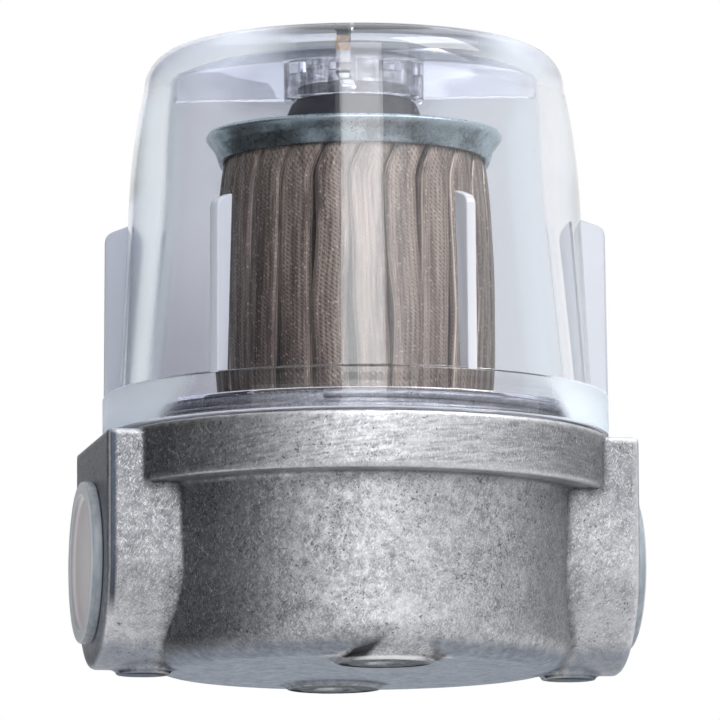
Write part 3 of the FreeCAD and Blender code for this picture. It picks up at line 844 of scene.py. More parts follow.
def see_through(name, tint, transmission, scuffs):
    """Clear moulded plastic; the part that isn't transmitted is the haze of scuffs on its skin."""
    material, shader, place = finish(name)
    haze = spread(noise(place, 9 * MM, detail=2), 0.45, 0.8, 0.0, scuffs)
    feed(shader, {
        "Base Color": tint, "Transmission Weight": transmission, "IOR": PLASTIC_IOR, "Roughness": haze})
    flow = noise(stretched(place, (1, 1, 0.3)), 16 * MM, detail=1)
    bump(shader, flow, 0.05 * MM, strength=0.5)
    tree = material.node_tree
    path = add(tree, "ShaderNodeLightPath").outputs
    trapped = maths("GREATER_THAN", Output(path["Ray Depth"]), TRAPPED_AFTER)
    straight = maths("MAXIMUM", trapped, path["Is Shadow Ray"])
    through = add(tree, "ShaderNodeBsdfTransparent", {0: THROUGH_TINT}).outputs[0]
    surface_of(tree, add(tree, "ShaderNodeMixShader", {0: straight, 1: shader.outputs[0], 2: through}))
    return material, shader, place, haze


# %% [markdown]
# The bowl isn't equally clear all over. The thick ends of its ring look frosted, the dome is hazy but
# for its middle, and the wall is a little hazy where it curves away on both sides. Each of these is a
# zone on the plastic itself, so it turns with the bowl.

# %% Clear plastic: haze of the bowl
FROSTED_TOP = FLANGE_TOP + 7.4 * MM
CLEAREST = 0.99
clear_plastic, shader, place, haze = see_through("clear_plastic", PLASTIC_TINT, CLEAREST, 0.05)
across, depth_in, height = split(place)
out = abs(across)
in_ring = spread(height, FROSTED_TOP, FROSTED_TOP - 0.8 * MM)
towards_end = out + (height - FLANGE_TOP) * 0.6 + spread(across, 0.0, 1 * MM, 0.0, 6 * MM)
frosted = spread(towards_end, 34 * MM, 37 * MM) * in_ring
in_dome = spread(height, bowl_high.z - 10 * MM, bowl_high.z - 4 * MM)
dome_haze = in_dome * spread(out, 11 * MM, 18 * MM)
side_haze = spread(out / distance(across, depth_in), 0.90, 0.985)
side_haze = side_haze * spread(height, bowl_high.z - 6 * MM, bowl_high.z - 12 * MM)
frost = frosted * spread(across, -30 * MM, 30 * MM, 0.30, 0.38)
feed(shader, {
    "Transmission Weight": CLEAREST - frost - dome_haze * 0.10,
    "Roughness": haze + frosted * 0.55 + dome_haze * 0.22 + side_haze * 0.12,
})

# %% [markdown]
# The tint changes by place too: paler on the right, a painted light, and darker low on the left, a
# painted shade; darker also in the middle of the ring and of the dome, and paler where the wall curves
# away. Two small patches of tint lie over the front rib, where it meets the dome: a dark one and a warm one.

# %% Clear plastic: tint of the bowl
LIT_RIGHT_TINT = (0.83, 0.85, 0.89)
SHADED_LOW_LEFT_TINT = (0.62, 0.63, 0.68)
SIDE_TINT = (0.88, 0.95, 1.0)
RING_TINT = (0.67, 0.68, 0.72)
DOME_MIDDLE_TINT = (0.29, 0.31, 0.355)
DOME_SIDE_TINT = (0.84, 0.89, 0.96)
FROST_TINT = (0.90, 0.96, 1.0)
WARM_MARK = (0.46, 0.32, 0.20)
DARK_MARK = (0.03, 0.032, 0.04)
LUG_CLOCKING = -13.6
rib_turn = math.radians(LUG_CLOCKING)
beside_rib = abs(across * math.cos(rib_turn) + depth_in * math.sin(rib_turn))
over_rib = spread(beside_rib, 1.25 * MM, 1.05 * MM) * spread(depth_in, -19 * MM, -20 * MM)
down = bowl_high.z - height
warm_mark = spread(down, 4.0 * MM, 4.3 * MM) * spread(down, 7.0 * MM, 6.2 * MM)
dark_mark = spread(down, 1.4 * MM, 1.7 * MM) * spread(down, 3.7 * MM, 3.4 * MM)
feed(shader, {"Base Color": coated(
    blend(spread(across, -5 * MM, 35 * MM), PLASTIC_TINT, LIT_RIGHT_TINT),
    (spread(across, -14 * MM, -24 * MM) * spread(height, 72 * MM, 52 * MM), SHADED_LOW_LEFT_TINT),
    (side_haze, SIDE_TINT),
    (in_ring * spread(out, 28 * MM, 20 * MM), RING_TINT),
    (in_dome, blend(spread(out, 14 * MM, 22 * MM), DOME_MIDDLE_TINT, DOME_SIDE_TINT)),
    (over_rib * warm_mark, WARM_MARK),
    (over_rib * dark_mark, DARK_MARK),
    (frosted, FROST_TINT),
)})
print("clear plastic:", len(place.tree.nodes), "nodes")

# %% [markdown]
# The lugs are scuffed from hands, and paler where they turn to the light. The ribs and the socket under
# the dome are milkier than the wall, and the ring's lower face is ground. The socket is painted in dark and
# pale cream patches, a painted highlight.

# %% Scuffed, milky and ground plastic
LIT_LUG_TINT = (0.74, 0.73, 0.77)
SOCKET_DARK = (0.24, 0.25, 0.27)
SOCKET_HIGHLIGHT = (1.0, 0.99, 0.97)
lug_plastic, shader, place, _ = see_through("scuffed_plastic", LUG_TINT, 0.12, 0.3)
across = split(place)[0]
towards_light = spread(across, 8 * MM, 14 * MM) * spread(across, 30 * MM, 26 * MM)
feed(shader, {"Base Color": blend(towards_light, LUG_TINT, LIT_LUG_TINT)})
rib_plastic = see_through("rib_plastic", RIB_TINT, 0.86, 0.1)[0]
ground_plastic = see_through("ground_plastic", (0.80, 0.82, 0.87), 0.2, 0.3)[0]
socket_plastic, shader, place, _ = see_through("socket_plastic", RIB_TINT, 0.88, 0.1)
upright = noise(stretched(place, (1, 1, 0.16)), 1.0 * MM, detail=3, roughness=0.6)
level_marks = noise(stretched(place, (0.25, 0.25, 1)), 0.9 * MM, detail=3, roughness=0.6)
painted_highlights = spread(upright * 0.55 + level_marks * 0.45, 0.42, 0.56)
feed(shader, {"Base Color": blend(painted_highlights, SOCKET_DARK, SOCKET_HIGHLIGHT)})
print("lug and socket plastic:", lug_plastic.name, socket_plastic.name)

# %% [markdown]
# The cartridge's caps are pressed from zinc-plated sheet. The plating is a bluish grey with cloudy
# patches, painted brighter along the rim as a painted highlight, and smooth enough to hold a soft streak of
# light.

# %% Zinc plate
ZINC_DARK = (0.10, 0.135, 0.145)
ZINC_LIGHT = (0.46, 0.55, 0.57)
ZINC_RIM_HIGHLIGHT = (0.60, 0.70, 0.72)
zinc, shader, place = finish("zinc_plate", metallic=1.0)
across, depth_in, _ = split(place)
speckle = noise(place, 0.6 * MM, detail=3, roughness=0.7)
tone = noise(place, 4 * MM, detail=4, roughness=0.55) + speckle * 0.5
rim_highlight = spread(distance(across, depth_in), cap_high.x - 0.7 * MM, cap_high.x - 0.2 * MM, 0.0, 0.8)
plating = blend(spread(tone, 0.55, 0.95), ZINC_DARK, ZINC_LIGHT)
feed(shader, {
    "Base Color": blend(rim_highlight, plating, ZINC_RIM_HIGHLIGHT), "Roughness": spread(speckle, 0.3, 0.7, 0.22, 0.38)})
bump(shader, tone, 0.04 * MM, strength=0.6)
print("zinc plate:", len(place.tree.nodes), "nodes")

# %% [markdown]
# The mesh is twilled wire cloth. Its diagonal ribs and its upright wires follow the folded sheet, so
# the pattern is drawn on the sheet's own UV map, which measures the cloth in metres. Oil has browned
# the cloth in upright bands, and these are painted darker on the left and at the far right, a painted
# shade. Painted glints dot the cloth, a painted highlight runs along the crest of each fold, and the
# folds are painted dark, a painted shade.

# %% Wire cloth
TWILL_PITCH = 0.43 * MM
TWILL_SLOPE = 0.6
WIRE_PITCH = 0.37 * MM
GLINT_SIZE = 0.34 * MM
FOLD_LENGTH = 17.5 * MM
CREST_SHARE = 0.118
CLOTH_GAP = (0.030, 0.021, 0.016)
CLOTH_BROWN = (0.108, 0.074, 0.054)
CLOTH_GREY = (0.44, 0.35, 0.275)
CLOTH_GLINT = (0.85, 0.76, 0.62)
wire_cloth, shader, place = finish("wire_cloth", roughness=0.5, metallic=0.55)
along, up, _ = split(Output(add(place.tree, "ShaderNodeUVMap", uv_map="sheet").outputs[0]))
diagonal = (along + up * TWILL_SLOPE) * (math.tau / TWILL_PITCH)
ribs = spread(maths("SINE", diagonal), -0.9, 0.7)
wires = spread(maths("SINE", along * (math.tau / WIRE_PITCH)), -1.0, 0.6)
weave = ribs * 0.52 + wires * 0.48
across = split(place)[0]
oil_bands_and_shade = noise(stretched(place, (1, 1, 0.06)), 1.6 * MM, detail=4, roughness=0.7)
# Painted shade across the cloth: darker on the left and at the far right.
oil_bands_and_shade = oil_bands_and_shade + spread(across, -24 * MM, 12 * MM, -0.09, 0.05)
oil_bands_and_shade = oil_bands_and_shade - spread(across, 13 * MM, 20 * MM, 0.0, 0.13)
chance, from_grain = grains(stretched(place, (1, 1, 0.7)), GLINT_SIZE)
glints = spread(chance, 0.80, 0.92, 0.0, 0.36) * spread(from_grain, 0.6, 0.2)
from_fold_middle = abs(maths("FRACT", along / FOLD_LENGTH) - 0.5)
from_crest = abs(from_fold_middle - CREST_SHARE)
crest_highlight = spread(from_crest, 0.012, 0.003) * spread(oil_bands_and_shade, 0.30, 0.55, 0.15, 0.55)
oiled = blend(spread(oil_bands_and_shade, 0.35, 0.68), CLOTH_BROWN, CLOTH_GREY)
feed(shader, {"Base Color": coated(
    blend(spread(weave, 0.0, 0.65, 0.30, 1.0), CLOTH_GAP, oiled),
    (glints, CLOTH_GLINT),
    (crest_highlight, CLOTH_GLINT),
    (spread(from_fold_middle, 0.135, 0.20, 0.0, 0.9), CLOTH_GAP),
)})
bump(shader, weave, 0.08 * MM, strength=0.3)
print("wire cloth:", len(place.tree.nodes), "nodes")

# %% [markdown]
# The smaller finishes are quick to tell apart by eye: dull black rubber, a set adhesive, plain drilled
# sheet and the soft milky plastic of the plugs, which is painted darker outside its shallow recess, a painted
# shade.

# %% Rubber, adhesive, drilled sheet and plug plastic
PLUG_RECESS_R = 11.0 * MM
PLUG_SHADE = (0.24, 0.28, 0.31)
PLUG_PALE = (0.74, 0.69, 0.70)
PLUG_RIM = (0.62, 0.63, 0.66)
PLUG_SMEAR = (0.65, 0.63, 0.64)


def speckled(name, dark, light, size, roughness, metallic=0.0):
    """A plain finish with a soft mottle of two tones and a fine bump."""
    material, shader, place = finish(name, metallic=metallic)
    mottle = noise(place, size, detail=5, roughness=0.6)
    feed(shader, {
        "Base Color": blend(spread(mottle, 0.35, 0.65), dark, light),
        "Roughness": spread(mottle, 0.3, 0.7, *roughness)})
    bump(shader, mottle, 0.02 * MM, strength=0.6)
    return material


seal_rubber = speckled("black_rubber", (0.012, 0.012, 0.013), (0.03, 0.03, 0.032), 1.1 * MM, (0.5, 0.65))
buffer_rubber = speckled(
    "grey_rubber", (0.010, 0.011, 0.013), (0.03, 0.033, 0.038), 1.6 * MM, (0.42, 0.6))
feed(buffer_rubber.node_tree.nodes["Principled BSDF"], {"Specular IOR Level": 0.15})
adhesive = speckled("adhesive", (0.16, 0.12, 0.08), (0.30, 0.25, 0.18), 2.0 * MM, (0.3, 0.5))
drilled_sheet = speckled(
    "drilled_sheet", (0.30, 0.30, 0.31), (0.52, 0.52, 0.53), 1.4 * MM, (0.35, 0.5), metallic=1.0)

plug_plastic, shader, place = finish("milky_plastic", roughness=0.4)
across, depth_in, height = split(place)
from_port = distance(depth_in, height - PORT_Z)
at_face = spread(abs(across), plug_high.x - 0.30 * MM, plug_high.x - 0.10 * MM)
on_rim = at_face * spread(from_port, PLUG_RECESS_R - 0.4 * MM, PLUG_RECESS_R)
in_recess = spread(from_port, PLUG_RECESS_R, PLUG_RECESS_R - 0.4 * MM)
smears = noise(stretched(place, (1, 1, 0.12)), 1.2 * MM, detail=4)
# Outside the recess the plug is painted darker: painted shade.
feed(shader, {"Base Color": coated(
    blend(in_recess, PLUG_SHADE, PLUG_PALE),
    (on_rim, PLUG_RIM),
    (spread(smears, 0.4, 0.7, 0.0, 0.35), PLUG_SMEAR),
)})
print("plug plastic:", len(place.tree.nodes), "nodes")

# %% [markdown]
# A small tree measures how sharply the surface folds at each point and keeps that as the edge
# attribute. The head then gets its metal, its flat places are thinned out, and it takes the place of
# its solid.

# %% Head: edge attribute and finish
THINNED_TO = 0.45
tree, inputs = open_tree("edge_mark", {"Rounds": "Int"})
fold = add(tree, "GeometryNodeInputMeshEdgeAngle").outputs["Signed Angle"]
on_points = add(tree, "GeometryNodeFieldOnDomain", {0: fold}, data_type="FLOAT", domain="POINT").outputs[0]
blurred = {0: on_points, "Iterations": inputs["Rounds"]}
spread_out = add(tree, "GeometryNodeBlurAttribute", blurred, data_type="FLOAT").outputs[0]
marked = add(tree, "GeometryNodeStoreNamedAttribute", {
    "Geometry": inputs["Geometry"], "Name": "edge", "Value": spread_out}, data_type="FLOAT", domain="POINT")
edge_tree = close_tree(tree, marked.outputs[0], inputs)
grow(head, edge_tree, {"Rounds": 2, "Material": cast_metal})
thinning = head.modifiers.new("thinning", "DECIMATE")
thinning.ratio = THINNED_TO
plain(head)
seat(head, "head", "cast_head", "head_casting")

# %% [markdown]
# A thread is a ridge that follows a helix. The tree draws the helix with a Spiral curve and sweeps a
# small round section along it. The same tree makes the neck's thread and, with a finer pitch, the
# threads in both ports. About half of the ridge is sunk in the metal: the thread has a round top.

# %% Thread tree
sizes = dict.fromkeys(("Radius", "Pitch", "Turns", "Ridge"), "Float")
tree, inputs = open_tree("thread_ridge", sizes)
helix = add(tree, "GeometryNodeCurveSpiral", {
    "Resolution": 72,
    "Rotations": inputs["Turns"],
    "Start Radius": inputs["Radius"],
    "End Radius": inputs["Radius"],
    "Height": inputs["Pitch"] * inputs["Turns"],
})
section = add(tree, "GeometryNodeCurvePrimitiveCircle", {"Resolution": 8, "Radius": inputs["Ridge"]})
ridge = add(tree, "GeometryNodeCurveToMesh", {0: helix.outputs[0], 1: section.outputs[0], "Fill Caps": True})
smooth = add(tree, "GeometryNodeSetShadeSmooth", {0: ridge.outputs[0]})
thread_tree = close_tree(tree, smooth.outputs[0], inputs)

# %% [markdown]
# The neck has a coarse thread of a little more than one turn, and each port has a pipe thread, 19 turns
# to the inch. Their tops lie where the faces were before they were cut back.

# %% Threads on the neck and in the ports
NECK_PITCH = 1.75 * MM
NECK_TURNS = 1.3
NECK_RIDGE = 0.62 * MM
NECK_START = 0.75 * MM
PORT_PITCH = 1.337 * MM
PORT_TURNS = 7.2
PORT_RIDGE = 0.42 * MM
PORT_START = 0.6 * MM


def thread(name, radius, pitch, turns, ridge, place):
    """A thread made round Z from z = 0 upwards, then put in its place."""
    sizes = {"Radius": radius, "Pitch": pitch, "Turns": turns, "Ridge": ridge, "Material": cast_metal}
    obj = grow(linked(name, bpy.data.meshes.new(name)), thread_tree, sizes)
    obj.data.transform(place)
    seat(obj, "head", "cast_head")


neck_place = Matrix.Translation((0, 0, FLANGE_TOP + NECK_START))
thread("neck_thread", NECK_R - NECK_RIDGE, NECK_PITCH, NECK_TURNS, NECK_RIDGE, neck_place)
for side, name in ((-1, "left_port_thread"), (1, "right_port_thread")):
    inner_end = Matrix.Translation((side * (PORT_FACE - BORE_LENGTH + PORT_START), 0, PORT_Z))
    lie_down = Matrix.Rotation(math.radians(90) * side, 4, "Y")
    thread(name, BORE_R + 0.5 * MM, PORT_PITCH, PORT_TURNS, PORT_RIDGE, inner_end @ lie_down)

# %% [markdown]
# ## The bowl
# The bowl is one moulding. Its wall, dome and ring are turned; the six grip lugs, the four ribs and the
# windows of the socket repeat round the axis. A tree copies one of each round the axis, and booleans
# make a single closed skin, because a bent ray must meet each surface of the plastic only once.

# %% Copies round the axis
tree, inputs = open_tree("round_the_axis", {"Copies": "Int", "Start Angle": "Float"})
points = add(tree, "GeometryNodeMeshLine", {"Count": inputs["Copies"], "Offset": (0, 0, 0)})
number = Output(add(tree, "GeometryNodeInputIndex").outputs[0])
turn = number * (math.tau / inputs["Copies"]) + inputs["Start Angle"]
rotation = add(tree, "ShaderNodeCombineXYZ", {2: turn}).outputs[0]
copies = add(tree, "GeometryNodeInstanceOnPoints", {
    "Points": points.outputs[0], "Instance": inputs["Geometry"], "Rotation": rotation})
axis_tree = close_tree(tree, copies.outputs[0], inputs)


def repeated(obj, count, start_degrees, material):
    """Copies of one shape round the axis, as one mesh."""
    start = math.radians(start_degrees)
    return grow(obj, axis_tree, {"Copies": count, "Start Angle": start, "Material": material})


# %% [markdown]
# The wall leans in a little, as a moulding must to leave its mould, and so does its inner face, which
# leans more, so that the plastic gets thicker towards the dome. Shallow arcs make the crown, the corner
# and the dome itself.

# %% Bowl: sizes of its wall and dome
RING_TOP = FLANGE_TOP + 7.2 * MM
SHOULDER = FLANGE_TOP + 3.9 * MM
FOOT_R = FLANGE_R - 2.75 * MM
WALL_DRAFT = math.tan(math.radians(2.9))
CROWN_Z = bowl_high.z - 25.5 * MM
CORNER_Z = bowl_high.z - 7.5 * MM
CROWN_IN = 1.56 * MM
CORNER_R = 6.0 * MM
DOME_RISE = 1.3 * MM
INNER_FOOT_R = FOOT_R - 4.05 * MM
INNER_DRAFT = math.tan(math.radians(4.9))
INNER_TOP = bowl_high.z - 2.7 * MM
INNER_CORNER_R = 4.8 * MM
RING_BORE_R = NECK_R + 0.3 * MM


def outer_r(z):
    """The radius of the wall's outer face at a height."""
    return FOOT_R - WALL_DRAFT * (z - RING_TOP)


def inner_r(z):
    """The radius of the wall's inner face at a height."""
    return INNER_FOOT_R - INNER_DRAFT * (z - SHOULDER)


for z in (RING_TOP, CROWN_Z):
    print("wall of the bowl, mm:", round((outer_r(z) - inner_r(z)) / MM, 2), "at height", round(z / MM, 1))


# %% Bowl: arcs of its section
ARC_STEPS = 10
DOME_STEPS = 14
INNER_ARC_STEPS = 8


def arc_through(first, middle, last, steps):
    """Points after first on the circle through three points, up to last."""
    a, b, c = Vector(first), Vector(middle), Vector(last)
    double = 2 * ((b - a).cross(c - a))
    across = (c - a) * (b - a).length_squared - (b - a) * (c - a).length_squared
    centre = a + Vector((across.y, -across.x)) / double
    return [on_arc(centre, a, c, step / steps) for step in range(1, steps + 1)]


def dome(edge):
    """Points up a shallow dome from its edge to the axis."""
    radius = (edge[0] ** 2 + DOME_RISE ** 2) / (2 * DOME_RISE)
    points = []
    for step in range(1, DOME_STEPS + 1):
        r = edge[0] * (1 - step / DOME_STEPS)
        points.append(Vector((r, edge[1] + math.sqrt(radius ** 2 - r ** 2) - (radius - DOME_RISE))))
    return points


crown = (outer_r(CROWN_Z), CROWN_Z)
corner = (outer_r(CORNER_Z) - CROWN_IN, CORNER_Z)
between_z = (CROWN_Z + CORNER_Z) / 2
between = (outer_r(between_z) - CROWN_IN / 4, between_z)
dome_edge = (corner[0] - CORNER_R, bowl_high.z - DOME_RISE)
corner_turn = math.sqrt(0.5)
corner_middle = (dome_edge[0] + CORNER_R * corner_turn,
                 CORNER_Z + (dome_edge[1] - CORNER_Z) * corner_turn)
inner_dome_edge_z = INNER_TOP - DOME_RISE
inner_wall_z = inner_dome_edge_z - INNER_CORNER_R
inner_wall_r = inner_r(inner_wall_z)
inner_dome_edge = (inner_wall_r - INNER_CORNER_R, inner_dome_edge_z)
inner_corner_middle = (inner_dome_edge[0] + INNER_CORNER_R * corner_turn,
                       inner_wall_z + INNER_CORNER_R * corner_turn)
print("dome from radius, mm:", [round(edge[0] / MM, 2) for edge in (dome_edge, inner_dome_edge)])

# %% Bowl: turned shell
outline = rounded([
    (INNER_FOOT_R, SHOULDER, 0),
    (RING_BORE_R, SHOULDER, 0.3 * MM),
    (RING_BORE_R, bowl_low.z, 0.25 * MM),
    (FLANGE_R, bowl_low.z, 0.5 * MM),
    (FLANGE_R, RING_TOP, 0.6 * MM),
    (FOOT_R, RING_TOP, 0.6 * MM),
    (crown[0], crown[1], 0),
])
outline += arc_through(crown, between, corner, ARC_STEPS)
outline += arc_through(corner, corner_middle, dome_edge, ARC_STEPS)
outline += dome(dome_edge)
outline += reversed(dome(inner_dome_edge))
outline += [Vector(inner_dome_edge)]
outline += arc_through(inner_dome_edge, inner_corner_middle, (inner_wall_r, inner_wall_z), INNER_ARC_STEPS)
bowl = lathe("bowl_finish", outline, segments=240)
bowl.data.materials.append(clear_plastic)
print("bowl shell:", triangles(bowl), "triangles")

# %% [markdown]
# Six lugs on the ring's shoulder give the hand a grip. Each is a thin upright slab whose top rises
# towards the wall, and its root runs a little way into the wall, so that the boolean joins them well.

# %% Bowl: grip lugs
LUG_COUNT = 6
LUG_THICKNESS = 1.7 * MM
LUG_TOP = RING_TOP + 28.5 * MM
LUG_SLOPE = math.tan(math.radians(20))
LUG_FOOT = SHOULDER + 0.8 * MM
LUG_EDGE = FLANGE_R - 0.08 * MM
LUG_TOP_EDGE = FLANGE_R - 0.3 * MM
LUG_ROOT_DEPTH = 1.5 * MM
lug_outer_top = LUG_TOP - LUG_SLOPE * (LUG_TOP_EDGE - FOOT_R)
lug_root_top_r = inner_r(LUG_TOP) + LUG_ROOT_DEPTH
lug_outline = rounded([
    (inner_r(LUG_FOOT) + LUG_ROOT_DEPTH, LUG_FOOT, 0),
    (LUG_EDGE, LUG_FOOT, 0),
    (LUG_TOP_EDGE, lug_outer_top, 2.0 * MM),
    (lug_root_top_r, lug_outer_top + LUG_SLOPE * (LUG_TOP_EDGE - lug_root_top_r), 0),
])
lug = bevelled(slab("lug", lug_outline, LUG_THICKNESS), 0.28 * MM)
bowl = joined(bowl, repeated(lug, LUG_COUNT, LUG_CLOCKING, lug_plastic), "UNION")
print("bowl with lugs:", triangles(bowl), "triangles")

# %% [markdown]
# Four ribs stiffen the dome from inside and carry the socket, which presses the buffer on the
# cartridge. Their outline follows the corner between wall and dome, just inside the plastic.

# %% Bowl: ribs under the dome
RIB_COUNT = 4
RIB_THICKNESS = 2.2 * MM
RIB_BOTTOM = INNER_TOP - 7.7 * MM
SOCKET_R = 11.5 * MM
SOCKET_WALL = 1.7 * MM
rib_start = SOCKET_R - SOCKET_WALL / 2
rib_outline = [
    (rib_start, RIB_BOTTOM),
    (inner_r(RIB_BOTTOM) + 0.5 * MM, RIB_BOTTOM),
    (inner_wall_r + 0.3 * MM, inner_wall_z - 1.5 * MM),
    (inner_wall_r - 0.6 * MM, inner_wall_z + 1.2 * MM),
    (inner_corner_middle[0] + 0.2 * MM, inner_corner_middle[1] + 0.2 * MM),
    (inner_dome_edge[0] + 0.2 * MM, inner_dome_edge[1] + 0.5 * MM),
    (inner_dome_edge[0] - 2.5 * MM, INNER_TOP + 0.2 * MM),
    (rib_start, INNER_TOP + 1.1 * MM),
]
rib = bevelled(slab("rib", rib_outline, RIB_THICKNESS), 0.3 * MM)
bowl = joined(bowl, repeated(rib, RIB_COUNT, LUG_CLOCKING, rib_plastic), "UNION")
print("bowl with ribs:", triangles(bowl), "triangles")

# %% [markdown]
# The socket is a short tube that flares into the dome. Small windows through its wall let the oil out,
# and in the photograph they are the bright cells under the dome. A boolean cuts them in one go.

# %% Bowl: socket with windows
SOCKET_BOTTOM = INNER_TOP - 8.2 * MM
SOCKET_FLARE = 2.2 * MM
WINDOW_COUNT = 8
WINDOW_WIDTH = 3.4 * MM
WINDOW_HEIGHT = 2.6 * MM
WINDOW_LOW = SOCKET_BOTTOM + 3.5 * MM
socket_inner_r = SOCKET_R - SOCKET_WALL
socket_top = INNER_TOP + 1.3 * MM
socket = lathe("socket_wall", rounded([
    (socket_inner_r, SOCKET_BOTTOM, 0.3 * MM),
    (SOCKET_R, SOCKET_BOTTOM, 0.3 * MM),
    (SOCKET_R, INNER_TOP, SOCKET_FLARE * 0.9),
    (SOCKET_R + SOCKET_FLARE, INNER_TOP, 0),
    (SOCKET_R + SOCKET_FLARE, socket_top, 0),
    (socket_inner_r, socket_top, 0),
]), segments=120)
window_outline = rectangle(
    socket_inner_r - 1 * MM, SOCKET_R + SOCKET_FLARE, WINDOW_LOW, WINDOW_LOW + WINDOW_HEIGHT)
window = slab("window", window_outline, WINDOW_WIDTH)
windows = repeated(window, WINDOW_COUNT, 180 / WINDOW_COUNT, rib_plastic)
socket.data.materials.append(socket_plastic)
bowl = joined(bowl, joined(socket, windows, "DIFFERENCE"), "UNION")
bowl.data.materials.append(ground_plastic)
ground_slot = len(bowl.data.materials) - 1
for face in bowl.data.polygons:
    if face.normal.z < -0.7 and face.center.z < bowl_low.z + 0.2 * MM:
        face.material_index = ground_slot
crisp_above(bowl, 32)
seat(bowl, "bowl", "clear_bowl", "bowl")

# %% [markdown]
# ## The cartridge
# Each cap is a pressed dish: a plate, a skirt round the mesh and a rim that flares out. The lathe turns
# both from one section, with the sheet's bends rounded. The bottom cap is the same dish upside down,
# with a hole instead of the top cap's hub.

# %% Caps
SHEET = 0.7 * MM
SKIRT_R = 22.3 * MM
SKIRT_HEIGHT = 2.9 * MM
HUB_R = 3.8 * MM
RIM_HEIGHT = 1.2 * MM
BASE_HOLE_R = 8.7 * MM


def cap(name, plate_z, sign, rim_z, middle):
    """A cap from its plate's outer face, with the corners near the axis given as middle."""
    rim_r = cap_high.x
    outer_corners, inner_corners = middle
    section = outer_corners + [
        (SKIRT_R - 1.3 * MM, plate_z, 0.8 * MM),
        (rim_r - 0.45 * MM, rim_z, 0.2 * MM),
        (rim_r, rim_z - sign * 0.55 * MM, 0.27 * MM),
        (SKIRT_R + 0.75 * MM, rim_z - sign * 2.1 * MM, 1.2 * MM),
        (SKIRT_R + 0.15 * MM, plate_z - sign * (SKIRT_HEIGHT - 0.25 * MM), 0.15 * MM),
        (SKIRT_R, plate_z - sign * SKIRT_HEIGHT, 0.1 * MM),
        (SKIRT_R - SHEET, plate_z - sign * SKIRT_HEIGHT, 0.15 * MM),
        (SKIRT_R - SHEET, plate_z - sign * SHEET, 0.3 * MM),
    ] + inner_corners
    return turned(name, section, zinc, 40)


plate_z = buffer_low.z
hub = ([(0, cap_high.z, 0), (HUB_R, cap_high.z, 0.5 * MM), (HUB_R, plate_z, 0.3 * MM)],
       [(HUB_R - SHEET, plate_z - SHEET, 0.2 * MM), (HUB_R - SHEET, cap_high.z - SHEET, 0.2 * MM),
        (0, cap_high.z - SHEET, 0)])
top_cap = cap("top_cap_finish", plate_z, 1, plate_z + RIM_HEIGHT, hub)
seat(top_cap, "head", "cap_zinc", "element_top_cap")
base_plate_z = base_cap_low.z + RIM_HEIGHT
hole = ([(BASE_HOLE_R, base_plate_z, 0.1 * MM)], [(BASE_HOLE_R, base_plate_z + SHEET, 0.1 * MM)])
base_cap = cap("bottom_cap_finish", base_plate_z, -1, base_cap_low.z, hole)
seat(base_cap, "head", "cap_zinc", "element_bottom_cap")

# %% [markdown]
# The wire cloth is folded into broad pleats that lie almost shoulder to shoulder. A rule makes it: one
# long flat grid is wound round the axis, and two curves say where a point of each fold goes, round the
# axis and in depth. Noise leans and swells every pleat a little differently, and fades out at the caps.
# The grid's own length is kept as a UV map, so the weave keeps its size round each fold.

# %% Pleat tree: a flat grid and its folds
tree, inputs = open_tree("pleated_sheet", {
    "Pleats": "Int", "Steps": "Int", "Levels": "Int", "Bottom": "Float", "Height": "Float",
    "Root Radius": "Float", "End Radius": "Float", "Bulge": "Float", "Lean": "Float",
    "Unevenness": "Float", "Fold Length": "Float", "Top Lean": "Float", "Seed": "Float"})


def curve_node(value, points):
    """A Float Curve through these (position, height) points."""
    node = add(value.tree, "ShaderNodeFloatCurve", {"Value": value})
    curve = node.mapping.curves[0]
    while len(curve.points) < len(points):
        curve.points.new(0.5, 0.5)
    for point, place in zip(curve.points, points):
        point.location = place
    node.mapping.update()
    return Output(node.outputs[0])


def vector(x, y, z=0.0):
    """A vector made of three values, the first of them an output."""
    return Output(add(x.tree, "ShaderNodeCombineXYZ", {0: x, 1: y, 2: z}).outputs[0])


def wander(where, detail):
    """Noise from -0.5 to 0.5, one unit across."""
    inputs = {"Vector": where, "Scale": 1.0, "Detail": detail}
    return Output(add(where.tree, "ShaderNodeTexNoise", inputs).outputs[0]) - 0.5


grid = add(tree, "GeometryNodeMeshGrid", {
    "Size X": 1, "Size Y": 1,
    "Vertices X": inputs["Pleats"] * inputs["Steps"] + 1,
    "Vertices Y": inputs["Levels"] + 1})
x, y, _ = split(Output(add(tree, "GeometryNodeInputPosition").outputs[0]))
along = (x + 0.5) * inputs["Pleats"]
up = y + 0.5
number = maths("FLOOR", along + 0.0001)
share = maths("MAXIMUM", along - number, 0.0)
swing = curve_node(share, [(0, 0), (0.25, 0.03), (0.5, 0.48), (0.75, 0.93), (1, 1)])
depth = curve_node(share, [(0, 0), (0.22, 0.86), (0.28, 0.985), (0.5, 1), (0.70, 0.96), (0.77, 0.84), (1, 0)])
used = curve_node(share, [(0, 0), (0.25, 0.37), (0.75, 0.63), (1, 1)])

